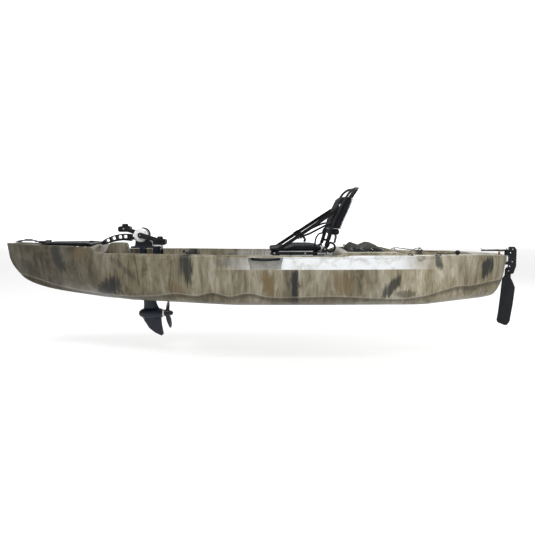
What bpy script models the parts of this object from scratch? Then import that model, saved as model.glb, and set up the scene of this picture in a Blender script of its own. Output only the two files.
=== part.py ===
"""Pedal-drive sit-on-top fishing kayak, about 4 m long.

Metres, +Z up. The bow points to -X and the port side to -Y. The origin is on the keel's flat strip,
under the middle of the hull.
"""
from math import atan2, cos, pi, radians, sin, tan

import bmesh
import bpy
from mathutils import Matrix, Vector

# Driving dimensions
STERN_X = 1.975
GAP = 0.0003            # between pieces that touch
RIM = 0.060             # width of the gunwale beside the cockpit
LEDGE_Z = 0.330         # side shelves that carry the seat rails
FLOOR_Z = 0.100         # footwell floor
SEAT_FLOOR_Z = 0.240
HATCH_SEAT_Z = 0.468    # flat rebate around the foredeck hatch
TANK_FLOOR_Z = 0.285
SLOT_HALF = 0.065       # drive slot, half width
CROSS_HALF = 0.150      # propeller slot, half width
SPINE_HALF = 0.088      # console between the two foot spaces
TRACK_Y = 0.222         # foredeck gear tracks

CRANK = Vector((-0.895, 0.0, 0.550))      # crank axis meets drive shaft
APEX = Vector((-0.830, 0.0, -0.081))      # drive shaft meets propeller shaft
CRANK_LENGTH = 0.172
CRANK_ANGLE = radians(15.4)               # port crank below the horizontal, pointing aft
CRANK_GEAR_TEETH = 32
PINION_TEETH = 8
LOWER_GEAR_TEETH = 20
CRANK_GEAR_R = 0.038
LOWER_GEAR_R = 0.026
PROP_RADIUS = 0.132
PROP_ANGLE = radians(18)
LIFT_PIN = Vector((-0.988, 0.0, 0.524))
RUDDER_AXIS = Vector((2.024, 0.0, 0.37))
BLADE_PIN = Vector((2.040, 0.0, 0.262))
SEAT_HINGE = Vector((0.545, 0.0, 0.452))
STEER_AXIS = Vector((-0.480, -0.372, 0.424))
HATCH_HINGE = Vector((-1.660, 0.0, 0.4975))

# Hull lines: (station x, value), joined by a smooth monotone curve
KEEL_LINE = [(-1.972, 0.440), (-1.960, 0.372), (-1.936, 0.316), (-1.888, 0.252), (-1.840, 0.204),
             (-1.744, 0.156), (-1.600, 0.116), (-1.360, 0.076), (-1.104, 0.044), (-0.656, 0.026),
             (-0.300, 0.008), (-0.100, 0.0), (1.200, 0.0), (1.456, 0.010), (1.700, 0.034),
             (1.909, 0.068), (1.940, 0.105), (1.965, 0.170), (1.975, 0.260)]
SHEER_LINE = [(-1.972, 0.485), (-1.700, 0.476), (-1.240, 0.466), (-1.185, 0.424), (-0.600, 0.420),
              (0.0, 0.412), (0.620, 0.410), (0.700, 0.434), (1.060, 0.434), (1.180, 0.410),
              (1.700, 0.406), (1.975, 0.396)]
BEAM_LINE = [(-1.972, 0.016), (-1.940, 0.046), (-1.850, 0.095), (-1.700, 0.155), (-1.500, 0.220),
             (-1.250, 0.285), (-1.000, 0.335), (-0.700, 0.378), (-0.400, 0.405), (0.0, 0.420),
             (0.500, 0.420), (0.850, 0.408), (1.200, 0.375), (1.500, 0.322), (1.750, 0.255),
             (1.900, 0.200), (1.975, 0.135)]
CROWN_LINE = [(-1.972, 0.001), (-1.850, 0.010), (-1.300, 0.012), (-1.185, 0.004), (1.150, 0.004),
              (1.800, 0.008), (1.975, 0.002)]
# Half section from keel to inner edge of the rim: (share of the half beam, share of the depth)
BOW_SECTION = [(0, 0), (0.10, 0), (0.30, 0.14), (0.47, 0.28), (0.62, 0.42), (0.75, 0.56),
               (0.86, 0.70), (0.94, 0.82), (1.0, 0.92), (1.0, 0.965), (0.95, 1.0), (0.80, 1.0)]
MID_SECTION = [(0, 0), (0.075, 0), (0.40, 0.022), (0.66, 0.07), (0.84, 0.16), (0.93, 0.30),
               (0.965, 0.50), (0.985, 0.72), (1.0, 0.90), (1.0, 0.965), (0.965, 1.0), (0.86, 1.0)]
STATIONS = [-1.972, -1.964, -1.950, -1.930, -1.900, -1.860, -1.810, -1.750, -1.680, -1.600, -1.500,
            -1.400, -1.300, -1.240, -1.212, -1.185, -1.100, -0.900, -0.700, -0.500, -0.300, -0.100,
            0.100, 0.300, 0.500, 0.620, 0.660, 0.700, 0.850, 1.060, 1.120, 1.180, 1.300, 1.450, 1.600,
            1.700, 1.800, 1.880, 1.915, 1.945, 1.965, 1.975]

# name: (colour, roughness, metallic)
FINISHES = {
    "hull_plastic": ((0.36, 0.33, 0.24), 0.45, 0.0),
    "black_plastic": ((0.022, 0.023, 0.026), 0.45, 0.0),
    "white_plastic": ((0.72, 0.72, 0.70), 0.40, 0.0),
    "navy_casting": ((0.018, 0.022, 0.032), 0.38, 0.0),
    "black_rubber": ((0.015, 0.015, 0.015), 0.80, 0.0),
    "steel": ((0.60, 0.60, 0.60), 0.25, 1.0),
    "aluminium": ((0.50, 0.51, 0.53), 0.35, 1.0),
    "black_tube": ((0.030, 0.031, 0.034), 0.35, 0.6),
    "seat_fabric": ((0.040, 0.041, 0.044), 0.90, 0.0),
    "webbing": ((0.045, 0.045, 0.045), 0.85, 0.0),
    "mesh_fabric": ((0.070, 0.072, 0.075), 0.90, 0.0),
    "bronze": ((0.50, 0.30, 0.12), 0.35, 1.0),
}


# Helpers -------------------------------------------------------------------------------------------

def finish(name):
    material = bpy.data.materials.get(name)
    if material is None:
        colour, roughness, metallic = FINISHES[name]
        material = bpy.data.materials.new(name)
        material.use_nodes = True
        shader = material.node_tree.nodes["Principled BSDF"]
        shader.inputs["Base Color"].default_value = (*colour, 1.0)
        shader.inputs["Roughness"].default_value = roughness
        shader.inputs["Metallic"].default_value = metallic
    return material


def add_object(name, bm, finish_name, parent=None, origin=None, smooth=True):
    """Make an object from a bmesh in world coordinates, with its origin on its parent's axis."""
    if origin is None:
        origin = parent.matrix_world.translation if parent else Vector((0, 0, 0))
    bmesh.ops.translate(bm, verts=bm.verts, vec=-Vector(origin))
    mesh = bpy.data.meshes.new(name)
    bm.to_mesh(mesh)
    bm.free()
    if smooth:
        mesh.shade_smooth()
        mesh.set_sharp_from_angle(angle=radians(35))
    mesh.materials.append(finish(finish_name))
    obj = bpy.data.objects.new(name, mesh)
    bpy.context.collection.objects.link(obj)
    obj.location = origin
    if parent:
        obj.parent = parent
        obj.location = Vector(origin) - parent.matrix_world.translation
    return obj


def add_axis(name, place, parent=None):
    """An empty on a joint's axis."""
    axis = bpy.data.objects.new(name, None)
    bpy.context.collection.objects.link(axis)
    axis.location = place
    if parent:
        axis.parent = parent
        axis.location = Vector(place) - parent.matrix_world.translation
    bpy.context.view_layer.update()
    return axis


def smooth_value(points, x):
    """Monotone cubic curve through a few (x, value) points."""
    if x <= points[0][0]:
        return points[0][1]
    if x >= points[-1][0]:
        return points[-1][1]
    slopes = [(b[1] - a[1]) / (b[0] - a[0]) for a, b in zip(points, points[1:])]
    i = max(k for k in range(len(slopes)) if points[k][0] <= x)

    def tangent(k):
        if k == 0 or k == len(slopes) or slopes[k - 1] * slopes[k] <= 0:
            return 0.0
        return 2 * slopes[k - 1] * slopes[k] / (slopes[k - 1] + slopes[k])

    (x0, y0), (x1, y1) = points[i], points[i + 1]
    h = x1 - x0
    t = (x - x0) / h
    return ((2 * t**3 - 3 * t**2 + 1) * y0 + (t**3 - 2 * t**2 + t) * h * tangent(i)
            + (3 * t**2 - 2 * t**3) * y1 + (t**3 - t**2) * h * tangent(i + 1))


def half_beam(x):
    return smooth_value(BEAM_LINE, x)


def sheer(x):
    return smooth_value(SHEER_LINE, x)


def deck(x, y=0.0):
    """Height of the uncut deck."""
    inner = half_beam(x) * 0.8
    return sheer(x) + smooth_value(CROWN_LINE, x) * max(0.0, 1 - abs(y) / inner)


def hull_ring(x):
    """One cross section, from the keel up the starboard side, over the deck and down the port side."""
    beam = half_beam(x)
    keel = smooth_value(KEEL_LINE, x)
    top = sheer(x)
    bow_share = min(1.0, max(0.0, (-0.95 - x) / 0.75))
    stern_share = 0.45 * min(1.0, max(0.0, (x - 1.35) / 0.5))
    share = max(bow_share, stern_share)
    half = []
    for (u0, v0), (u1, v1) in zip(MID_SECTION, BOW_SECTION):
        u = u0 + (u1 - u0) * share
        v = v0 + (v1 - v0) * share
        half.append((u * beam, keel + v * (top - keel)))
    centre = (0.0, top + smooth_value(CROWN_LINE, x))
    right = half + [centre]
    left = [(-y, z) for y, z in reversed(half[1:])]
    return [Vector((x, y, z)) for y, z in right + left]


def loft(rings):
    """Closed skin through rings with equal numbers of points, capped at both ends."""
    bm = bmesh.new()
    loops = []
    for ring in rings:
        verts = [bm.verts.new(p) for p in ring]
        loops.append([bm.edges.new((a, b)) for a, b in zip(verts, verts[1:] + verts[:1])])
    for first, second in zip(loops, loops[1:]):
        bmesh.ops.bridge_loops(bm, edges=first + second)
    for loop in (loops[0], loops[-1]):
        bmesh.ops.contextual_create(bm, geom=loop)
    bmesh.ops.recalc_face_normals(bm, faces=bm.faces)
    return bm


def prism(outline, low, high, plane="XY"):
    """An outline extruded between two heights. Plane XY extrudes along Z, XZ along Y, YZ along X."""
    place = {"XY": lambda a, b, c: (a, b, c), "XZ": lambda a, b, c: (a, c, b),
             "YZ": lambda a, b, c: (c, a, b)}[plane]
    return loft([[Vector(place(a, b, level)) for a, b in outline] for level in (low, high)])


def round_edges(bm, width, segments=2, angle=30):
    edges = [e for e in bm.edges if len(e.link_faces) == 2 and e.calc_face_angle(0) > radians(angle)]
    bmesh.ops.bevel(bm, geom=edges, offset=width, affect="EDGES", segments=segments, profile=0.5,
                    material=-1, clamp_overlap=True)
    return bm


def block(low, high, bevel=0.0, segments=2):
    outline = [(low[0], low[1]), (high[0], low[1]), (high[0], high[1]), (low[0], high[1])]
    bm = prism(outline, low[2], high[2])
    return round_edges(bm, bevel, segments) if bevel else bm


def turned(profile, centre, axis, segments=24):
    """A body of revolution. The profile is a list of (radius, distance along the axis), and a profile
    whose ends are not at radius 0 is a closed ring."""
    along = Vector(axis).normalized()
    turn = Vector((0, 0, 1)).rotation_difference(along).to_matrix()
    solid = profile[0][0] == 0
    bm = bmesh.new()
    verts = [bm.verts.new((r, 0, h)) for r, h in profile]
    edges = [bm.edges.new(pair) for pair in zip(verts, verts[1:])]
    if not solid:
        edges.append(bm.edges.new((verts[-1], verts[0])))
    bmesh.ops.spin(bm, geom=verts + edges, cent=(0, 0, 0), axis=(0, 0, 1), angle=2 * pi,
                   steps=segments, use_merge=True)
    bmesh.ops.remove_doubles(bm, verts=bm.verts, dist=0.00001)
    bmesh.ops.recalc_face_normals(bm, faces=bm.faces)
    bmesh.ops.transform(bm, matrix=Matrix.Translation(centre) @ turn.to_4x4(), verts=bm.verts)
    return bm


def rod(start, end, radius, segments=12, chamfer=0.0):
    start, end = Vector(start), Vector(end)
    length = (end - start).length
    profile = [(0, 0), (radius - chamfer, 0), (radius, chamfer), (radius, length - chamfer),
               (radius - chamfer, length), (0, length)]
    if not chamfer:
        profile = [(0, 0), (radius, 0), (radius, length), (0, length)]
    return turned(profile, start, end - start, segments)


def through(points, count):
    """Points on a smooth curve through a few route points."""
    points = [Vector(p) for p in points]
    padded = [2 * points[0] - points[1], *points, 2 * points[-1] - points[-2]]
    runs = len(points) - 1
    route = []
    for step in range(count):
        place = step * runs / (count - 1)
        i = min(int(place), runs - 1)
        t = place - i
        a, b, c, d = padded[i:i + 4]
        route.append(0.5 * (2 * b + (c - a) * t + (2 * a - 5 * b + 4 * c - d) * t * t
                            + (3 * b - a - 3 * c + d) * t**3))
    return route


def tube(name, points, radius, finish_name, parent=None, closed=False, resolution=2):
    """A round bar or cord along a list of points."""
    origin = parent.matrix_world.translation if parent else Vector((0, 0, 0))
    curve = bpy.data.curves.new(name, "CURVE")
    curve.dimensions = "3D"
    curve.bevel_depth = radius
    curve.bevel_resolution = resolution
    curve.render_resolution_u = 0
    curve.use_fill_caps = True
    spline = curve.splines.new("POLY")
    spline.points.add(len(points) - 1)
    for target, point in zip(spline.points, points):
        target.co = (*(Vector(point) - origin), 1.0)
    spline.use_cyclic_u = closed
    curve.materials.append(finish(finish_name))
    obj = bpy.data.objects.new(name, curve)
    bpy.context.collection.objects.link(obj)
    obj.location = origin
    if parent:
        obj.parent = parent
        obj.location = (0, 0, 0)
    return obj


def bar(points, radius, segments=10):
    """A round bar along a route, as a mesh that can be cut and joined."""
    route = [Vector(p) for p in points]
    side = Vector((0, 0, 1)).cross(route[1] - route[0])
    side = (side if side.length > 1e-6 else Vector((1, 0, 0))).normalized()
    rings = []
    for i, point in enumerate(route):
        ahead = (route[min(i + 1, len(route) - 1)] - route[max(i - 1, 0)]).normalized()
        side = (side - ahead * side.dot(ahead)).normalized()
        up = ahead.cross(side)
        rings.append([point + (side * cos(a) + up * sin(a)) * radius
                      for a in [2 * pi * k / segments for k in range(segments)]])
    return loft(rings)


def boolean(target, other_bm, operation, name):
    """Join a tool to a target. The tool stays in the file as a wire guide."""
    tool = add_object(name, other_bm, "hull_plastic", smooth=False)
    tool.hide_render = True
    tool.display_type = "WIRE"
    modifier = target.modifiers.new(name, "BOOLEAN")
    modifier.operation = operation
    modifier.object = tool
    modifier.solver = "EXACT"
    return tool


def strip(points, width, thickness, across=(0, 1, 0)):
    """A flat band along a route in the XZ plane."""
    rings = []
    side = Vector(across) * width / 2
    route = [Vector(p) for p in points]
    for i, point in enumerate(route):
        ahead = (route[min(i + 1, len(route) - 1)] - route[max(i - 1, 0)]).normalized()
        up = ahead.cross(side).normalized() * thickness / 2
        rings.append([point - side - up, point + side - up, point + side + up, point - side + up])
    return loft(rings)


# Hull ----------------------------------------------------------------------------------------------

def plan_outline(x0, x1, inset, steps):
    """Outline in plan that runs parallel to the gunwale."""
    xs = [x0 + (x1 - x0) * i / steps for i in range(steps + 1)]
    edge = [(x, half_beam(x) - inset) for x in xs]
    return [(x, -y) for x, y in edge] + [(x, y) for x, y in reversed(edge)]


def recesses():
    """Everything that is cut into the hull."""
    top = 0.70
    side = max(half_beam(x) for x in (0.0, 0.3))
    cuts = {
        "cockpit": prism(plan_outline(-1.150, 0.660, RIM, 12), LEDGE_Z, top),
        "footwell_rear": block((-0.760, -0.280, FLOOR_Z), (-0.100, 0.280, top)),
        "footwell_port": block((-1.090, -0.205, FLOOR_Z), (-0.740, -SPINE_HALF, top)),
        "footwell_starboard": block((-1.090, SPINE_HALF, FLOOR_Z), (-0.740, 0.205, top)),
        "seat_well": block((-0.110, -0.200, SEAT_FLOOR_Z), (0.620, 0.200, top)),
        "tank_well": prism(plan_outline(0.720, 1.690, 0.110, 6), TANK_FLOOR_Z, top),
        "hatch_tub": prism([(-1.600, -0.090), (-1.290, -0.150), (-1.290, 0.150), (-1.600, 0.090)],
                           0.300, top),
        "hatch_rebate": prism([(-1.651, -0.116), (-1.259, -0.190), (-1.259, 0.190), (-1.651, 0.116)],
                              HATCH_SEAT_Z, top),
        "drive_slot": block((-0.955, -SLOT_HALF, -0.1), (-0.750, SLOT_HALF, top)),
        "prop_slot": block((-0.762, -CROSS_HALF, -0.1), (-0.610, CROSS_HALF, top)),
    }
    for label, sign in (("port", -1), ("starboard", 1)):
        # hand recess beside the seat, and the notch behind it where a rod rests
        outline = [(-0.030, 0.396), (0.215, 0.396), (0.200, 0.312), (-0.012, 0.312)]
        inner, outer = sorted((sign * (side - 0.052), sign * (side + 0.1)))
        cuts["grip_recess_" + label] = prism(outline, inner, outer, "XZ")
        notch = [(1.214, 0.6), (1.290, 0.6), (1.286, 0.385), (1.268, 0.364), (1.240, 0.364),
                 (1.220, 0.385)]
        inner, outer = sorted((sign * (half_beam(1.25) - 0.045), sign * (half_beam(1.25) + 0.1)))
        cuts["rod_notch_" + label] = prism(notch, inner, outer, "XZ")
        cuts["track_recess_" + label] = block((-1.376, sign * TRACK_Y - 0.021, 0.452),
                                              (-1.262, sign * TRACK_Y + 0.021, top))
        for place, x, y in (("fore", -0.200, 0.230), ("aft", 1.300, 0.150)):
            cuts["scupper_" + place + "_" + label] = rod((x, sign * y, -0.1), (x, sign * y, 0.5),
                                                         0.017, 12)
    cuts["drain"] = rod((1.9550, 0.100, 0.300), (2.050, 0.100, 0.300), 0.011, 16)
    return cuts


def make_hull():
    """The hull is one solid: its sealed inside is filled, so the wells stay open in collision."""
    hull = add_object("hull", loft([hull_ring(x) for x in STATIONS]), "hull_plastic")
    for label, cutter in recesses().items():
        boolean(hull, cutter, "DIFFERENCE", "cut_" + label)
    hump = round_edges(prism([(-1.175, 0.300), (-0.985, 0.300), (-1.000, 0.475), (-1.030, 0.492),
                              (-1.130, 0.488), (-1.165, 0.462)], -0.062, 0.062, "XZ"), 0.012, 1, 50)
    boolean(hull, hump, "UNION", "console_hump")
    return hull


# Deck fittings -------------------------------------------------------------------------------------

def make_deck_fittings():
    plug = turned([(0, 0), (0.0104, 0), (0.0104, 0.020), (0.017, 0.020), (0.017, 0.026),
                   (0.008, 0.028), (0.008, 0.034), (0, 0.034)],
                  (STERN_X - 0.0194, 0.100, 0.300), (1, 0, 0), 16)
    add_object("drain_plug", plug, "black_plastic")

    x0, x1 = -1.905, -1.715
    base = deck(-1.860) + 0.0015
    arch = [(x0, base), (x0 + 0.040, base), (x0 + 0.050, base + 0.009), (x1 - 0.040, base + 0.009),
            (x1 - 0.030, base), (x1, base), (x1 - 0.006, base + 0.006), (x1 - 0.060, base + 0.017),
            (x0 + 0.088, base + 0.022), (x0 + 0.020, base + 0.012)]
    add_object("bow_handle", round_edges(prism(arch, -0.022, 0.022, "XZ"), 0.003, 1, 60),
               "black_plastic")
    for label, sign in (("port", -1), ("starboard", 1)):
        outer = half_beam(0.1) - 0.010
        route = [(-0.008, sign * (outer - 0.0375), 0.3835), (0.006, sign * (outer - 0.020), 0.3830),
                 (0.093, sign * (outer - 0.008), 0.3800), (0.180, sign * (outer - 0.020), 0.3830),
                 (0.194, sign * (outer - 0.0375), 0.3835)]
        tube("grip_" + label, through(route, 13), 0.0085, "black_rubber")

        rail = block((-1.366, sign * TRACK_Y - 0.015, 0.4523), (-1.272, sign * TRACK_Y + 0.015, 0.466),
                     0.002, 1)
        add_object("gear_track_" + label, rail, "black_plastic")

        low, high = sorted((sign * 0.250, sign * 0.285))
        rail = block((-0.080, low, LEDGE_Z + GAP), (0.640, high, LEDGE_Z + 0.014), 0.002, 1)
        add_object("seat_rail_" + label, rail, "aluminium")


def make_hatch(axis):
    outline = [(-1.648, -0.112), (-1.262, -0.186), (-1.262, 0.186), (-1.648, 0.112)]
    lid_bottom = HATCH_SEAT_Z + 0.0088
    lid = round_edges(prism(outline, lid_bottom, lid_bottom + 0.014), 0.004, 1, 40)
    obj = add_object("hatch_lid", lid, "black_plastic", axis)
    x, z = HATCH_HINGE.x, HATCH_HINGE.z
    leaf = block((x, -0.060, lid_bottom + 0.0115), (x + 0.035, 0.060, lid_bottom + 0.0165))
    boolean(obj, leaf, "UNION", "hatch_leaf")
    boolean(obj, rod((x, -0.060, z), (x, 0.060, z), 0.008, 12), "UNION", "hatch_knuckle")
    boolean(obj, rod((x, -0.070, z), (x, 0.070, z), 0.0034, 12), "DIFFERENCE", "hatch_bore")
    foot_z = deck(x - 0.010) + 0.0012
    foot = block((x - 0.032, -0.092, foot_z), (x - 0.0095, 0.092, foot_z + 0.006))
    hinge = add_object("hatch_hinge", foot, "steel")
    for label, sign in (("port", -1), ("starboard", 1)):
        low, high = sorted((sign * 0.0725, sign * 0.092))
        ear = block((x - 0.032, low, foot_z), (x + 0.009, high, z + 0.008))
        boolean(hinge, ear, "UNION", "hinge_ear_" + label)
    boolean(hinge, rod((x, -0.080, z), (x, 0.080, z), 0.003, 12), "UNION", "hatch_pin")
    seal = prism([(-1.630, -0.104), (-1.275, -0.172), (-1.275, 0.172), (-1.630, 0.104)],
                 HATCH_SEAT_Z + GAP, HATCH_SEAT_Z + 0.0085)
    obj = add_object("hatch_seal", seal, "black_rubber")
    boolean(obj, prism([(-1.612, -0.092), (-1.290, -0.154), (-1.290, 0.154), (-1.612, 0.092)],
                       0.45, 0.50), "DIFFERENCE", "seal_mouth")


def make_rigging():
    """Cargo on the front of the tank well, and the shock cord across its rear."""
    bumps = [(0.697, 0.300), (0.986, 0.300), (0.996, 0.400), (0.992, 0.452), (0.965, 0.484),
             (0.920, 0.494), (0.882, 0.488), (0.850, 0.474), (0.815, 0.494), (0.770, 0.498),
             (0.725, 0.484), (0.697, 0.452)]
    bumps = [(x + 0.030 if x < 0.700 else x, z) for x, z in bumps]
    cover = round_edges(prism(bumps, -0.255, 0.255, "XZ"), 0.022, 2, 60)
    add_object("cargo_cover", cover, "mesh_fabric")

    corners = {}
    for place, x in (("fore", 1.180), ("aft", 1.400)):
        for sign in (-1, 1):
            corners[(place, sign)] = Vector((x, sign * (half_beam(x) - 0.070), sheer(x) + 0.024))
    for label, sign in (("port", -1), ("starboard", 1)):
        drop = 0.008 if sign < 0 else -0.006
        start, end = corners[("fore", sign)], corners[("aft", -sign)]
        middle = (start + end) / 2 + Vector((0, 0, drop))
        tube("shock_cord_" + label, through([start, middle, end], 25), 0.003, "black_rubber")

    ball = turned([(0, -0.019)] + [(0.019 * cos(a), 0.019 * sin(a)) for a in
                  [radians(d) for d in range(-60, 61, 20)]] + [(0, 0.019)],
                  (1.555, -0.262, sheer(1.555) + 0.0195), (0, 0, 1), 16)
    add_object("keeper_ball", ball, "black_rubber")


def make_steering(axis):
    x, y, z = STEER_AXIS
    base = turned([(0.004, 0.0005), (0.020, 0.0005), (0.018, 0.008), (0.004, 0.008)], (x, y, z),
                  (0, 0, 1), 20)
    add_object("steering_base", base, "black_plastic")
    lever = prism([(x - 0.042, y - 0.007), (x - 0.010, y - 0.012), (x + 0.010, y - 0.012),
                   (x + 0.018, y - 0.006), (x + 0.018, y + 0.006), (x + 0.010, y + 0.012),
                   (x - 0.010, y + 0.012), (x - 0.042, y + 0.007)], z + 0.0088, z + 0.0148)
    obj = add_object("steering_lever", round_edges(lever, 0.0015, 1, 50), "black_plastic", axis)
    boolean(obj, rod((x, y, z + 0.001), (x, y, z + 0.012), 0.0036, 12), "UNION", "lever_stub")
    knob = turned([(0, 0), (0.006, 0), (0.008, 0.004), (0.008, 0.012), (0.005, 0.016), (0, 0.016)],
                  (x - 0.034, y, z + 0.0140), (0, 0, 1), 14)
    boolean(obj, knob, "UNION", "lever_knob")


# Pedal drive ---------------------------------------------------------------------------------------

def bevel_gear(teeth, radius, half_angle, face, apex, axis, phase, bore):
    """Straight bevel gear. Every tooth runs towards the apex, so the small end is the big end scaled
    about it. The phase turns tooth 0 from the gear's own zero direction."""
    module = 2 * radius / teeth
    cone = radius / sin(half_angle)
    share = 1 - face / cone
    profile = ((-0.34, -0.70), (-0.15, 0.42), (0.15, 0.42), (0.34, -0.70))
    along = Vector(axis).normalized()
    side = Vector((1, 0, 0)) if abs(along.x) < 0.7 else Vector((0, 0, 1))
    side = (side - along * side.dot(along)).normalized()
    other = along.cross(side)

    def toothed_ring(scale):
        points = []
        for tooth in range(teeth):
            for across, height in profile:
                angle = phase + (tooth + across) * 2 * pi / teeth
                r = radius + height * module * cos(half_angle)
                depth = radius / tan(half_angle) - height * module * sin(half_angle)
                points.append(apex + scale * ((side * cos(angle) + other * sin(angle)) * r
                                              - along * depth))
        return points

    def bore_ring(depth):
        angles = [phase + (tooth + across) * 2 * pi / teeth
                  for tooth in range(teeth) for across, height in profile]
        return [apex - along * depth + (side * cos(a) + other * sin(a)) * bore for a in angles]

    back = radius / tan(half_angle) + module * 0.8
    front = share * radius / tan(half_angle)
    bm = bmesh.new()
    loops = []
    for ring in (toothed_ring(share), toothed_ring(1.0), bore_ring(back), bore_ring(front)):
        verts = [bm.verts.new(p) for p in ring]
        loops.append([bm.edges.new(pair) for pair in zip(verts, verts[1:] + verts[:1])])
    for first, second in zip(loops, loops[1:] + loops[:1]):
        bmesh.ops.bridge_loops(bm, edges=first + second)
    bmesh.ops.recalc_face_normals(bm, faces=bm.faces)
    return bm


def drive_line(distance):
    """A point on the slanted drive shaft, measured up from the propeller shaft."""
    return APEX + (CRANK - APEX).normalized() * distance


def make_drive(lift):
    shaft_up = (CRANK - APEX).normalized()
    shaft_length = (CRANK - APEX).length
    cx, cz = CRANK.x, CRANK.z

    # Head: a drum around the crank shaft, open below for the drive shaft
    head = turned([(0.0145, -0.052), (0.052, -0.052), (0.052, 0.052), (0.0145, 0.052)],
                  CRANK, (0, 1, 0), 28)
    case = add_object("head_case", head, "black_plastic", lift)
    neck = prism([(cx - 0.050, 0.463), (cx + 0.088, 0.463), (cx + 0.084, 0.496),
                  (cx + 0.046, 0.520), (cx - 0.046, 0.520)], -0.040, 0.040, "XZ")
    boolean(case, neck, "UNION", "head_neck")
    link = prism([(LIFT_PIN.x - 0.012, 0.514), (cx - 0.030, 0.508), (cx - 0.030, 0.538),
                  (LIFT_PIN.x - 0.012, 0.534)], -0.009, 0.009, "XZ")
    boolean(case, link, "UNION", "head_link")
    boolean(case, turned([(0, -0.0445), (0.0445, -0.0445), (0.0445, 0.0445), (0, 0.0445)],
                         CRANK, (0, 1, 0), 28), "DIFFERENCE", "gear_room")
    boolean(case, rod(drive_line(shaft_length - 0.12), drive_line(shaft_length), 0.020, 16),
            "DIFFERENCE", "shaft_room")
    boolean(case, rod((LIFT_PIN.x, -0.024, LIFT_PIN.z), (LIFT_PIN.x, 0.024, LIFT_PIN.z), 0.004, 12),
            "UNION", "lift_trunnion")

    for label, sign, radius, colour in (("port", -1, 0.0555, "white_plastic"),
                                        ("starboard", 1, 0.0585, "black_plastic")):
        cover = turned([(0.0145, 0.0523), (radius, 0.0523), (radius, 0.060), (radius - 0.008, 0.066),
                        (0.0145, 0.068)], CRANK, (0, sign, 0), 32)
        add_object("bearing_cover_" + label, cover, colour, lift)
        bearing = turned([(0.0083, 0.0475), (0.0142, 0.0475), (0.0142, 0.0675), (0.0083, 0.0675)],
                         CRANK, (0, sign, 0), 20)
        add_object("crank_bearing_" + label, bearing, "steel", lift)

    # Deck plate with two legs that stand in the drive well
    plate = block((-0.975, -0.068, 0.4475), (-0.735, 0.068, 0.4625), 0.004, 1)
    base = add_object("drive_plate", plate, "black_plastic", lift)
    for index, (x0, x1) in enumerate(((-0.905, -0.870), (-0.800, -0.740))):
        leg = block((x0, -0.0705, LEDGE_Z + GAP), (x1, 0.0705, 0.4510), 0.002, 1)
        boolean(base, leg, "UNION", "leg_%d" % index)
        arch = block((x0 - 0.01, -0.0610, LEDGE_Z - 0.01), (x1 + 0.01, 0.0610, 0.4360))
        boolean(base, arch, "DIFFERENCE", "leg_arch_%d" % index)
    boolean(base, rod(drive_line(0.50), drive_line(0.58), 0.0262, 20), "DIFFERENCE", "column_hole")

    # Column, foil strut, and gearcase with its skeg
    column = turned([(0.0130, 0.1725), (0.0258, 0.1725), (0.0258, 0.5195), (0.0130, 0.5195)], APEX,
                    shaft_up, 20)
    add_object("drive_column", column, "black_plastic", lift)

    def foil(distance, front, back, half):
        middle = drive_line(distance)
        outline = ((-front, 0.0), (-front * 0.55, half * 0.85), (0.0, half), (back * 0.5, half * 0.7),
                   (back, 0.002), (back, -0.002), (back * 0.5, -half * 0.7), (0.0, -half),
                   (-front * 0.55, -half * 0.85))
        return [Vector((middle.x + a, b, middle.z)) for a, b in outline]

    strut = loft([foil(0.0385, 0.060, 0.070, 0.019), foil(0.050, 0.056, 0.061, 0.019),
                  foil(0.075, 0.053, 0.053, 0.019), foil(0.110, 0.050, 0.047, 0.019),
                  foil(0.167, 0.047, 0.044, 0.021)])
    strut = add_object("foil_strut", strut, "navy_casting", lift)
    boolean(strut, rod(drive_line(0.0), drive_line(0.18), 0.0072, 14), "DIFFERENCE", "strut_bore")

    px, pz = APEX.x, APEX.z - 0.002
    nose = [(0, -0.104), (0.014, -0.100), (0.027, -0.089), (0.037, -0.069), (0.044, -0.044),
            (0.0465, -0.012), (0.0465, 0.024), (0.0440, 0.056), (0.037, 0.082), (0.031, 0.092),
            (0, 0.092)]
    pod = add_object("gearcase_pod", turned(nose, (px, 0, pz), (1, 0, 0), 24), "navy_casting", lift)
    skeg = [(-0.921, -0.083), (-0.888, -0.146), (-0.851, -0.204), (-0.806, -0.241), (-0.752, -0.267),
            (-0.733, -0.254), (-0.746, -0.179), (-0.752, -0.100)]
    boolean(pod, round_edges(prism(skeg, -0.0065, 0.0065, "XZ"), 0.003, 1, 60), "UNION", "skeg")
    seat = foil(0.0382, 0.0608, 0.0712, 0.0197)
    lid = foil(0.0850, 0.0608, 0.0712, 0.0197)
    boolean(pod, loft([seat, lid]), "DIFFERENCE", "strut_seat")
    room = turned([(0, -0.036), (0.0305, -0.036), (0.0305, 0.036), (0, 0.036)], APEX, shaft_up, 24)
    boolean(pod, room, "DIFFERENCE", "gear_chamber")
    boolean(pod, rod((px, 0, APEX.z), (px + 0.12, 0, APEX.z), 0.0125, 16), "DIFFERENCE", "prop_bore")
    boolean(pod, rod(drive_line(0.02), drive_line(0.06), 0.0072, 14), "DIFFERENCE", "shaft_bore")

    seal = turned([(0.0052, 0.0925), (0.031, 0.0925), (0.031, 0.103), (0.0052, 0.105)],
                  (px, 0, APEX.z), (1, 0, 0), 24)
    add_object("shaft_seal", seal, "white_plastic", lift)
    bearing = turned([(0.0052, 0.060), (0.0122, 0.060), (0.0122, 0.0920), (0.0052, 0.0920)],
                     (px, 0, APEX.z), (1, 0, 0), 20)
    add_object("prop_bearing", bearing, "steel", lift)

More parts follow.
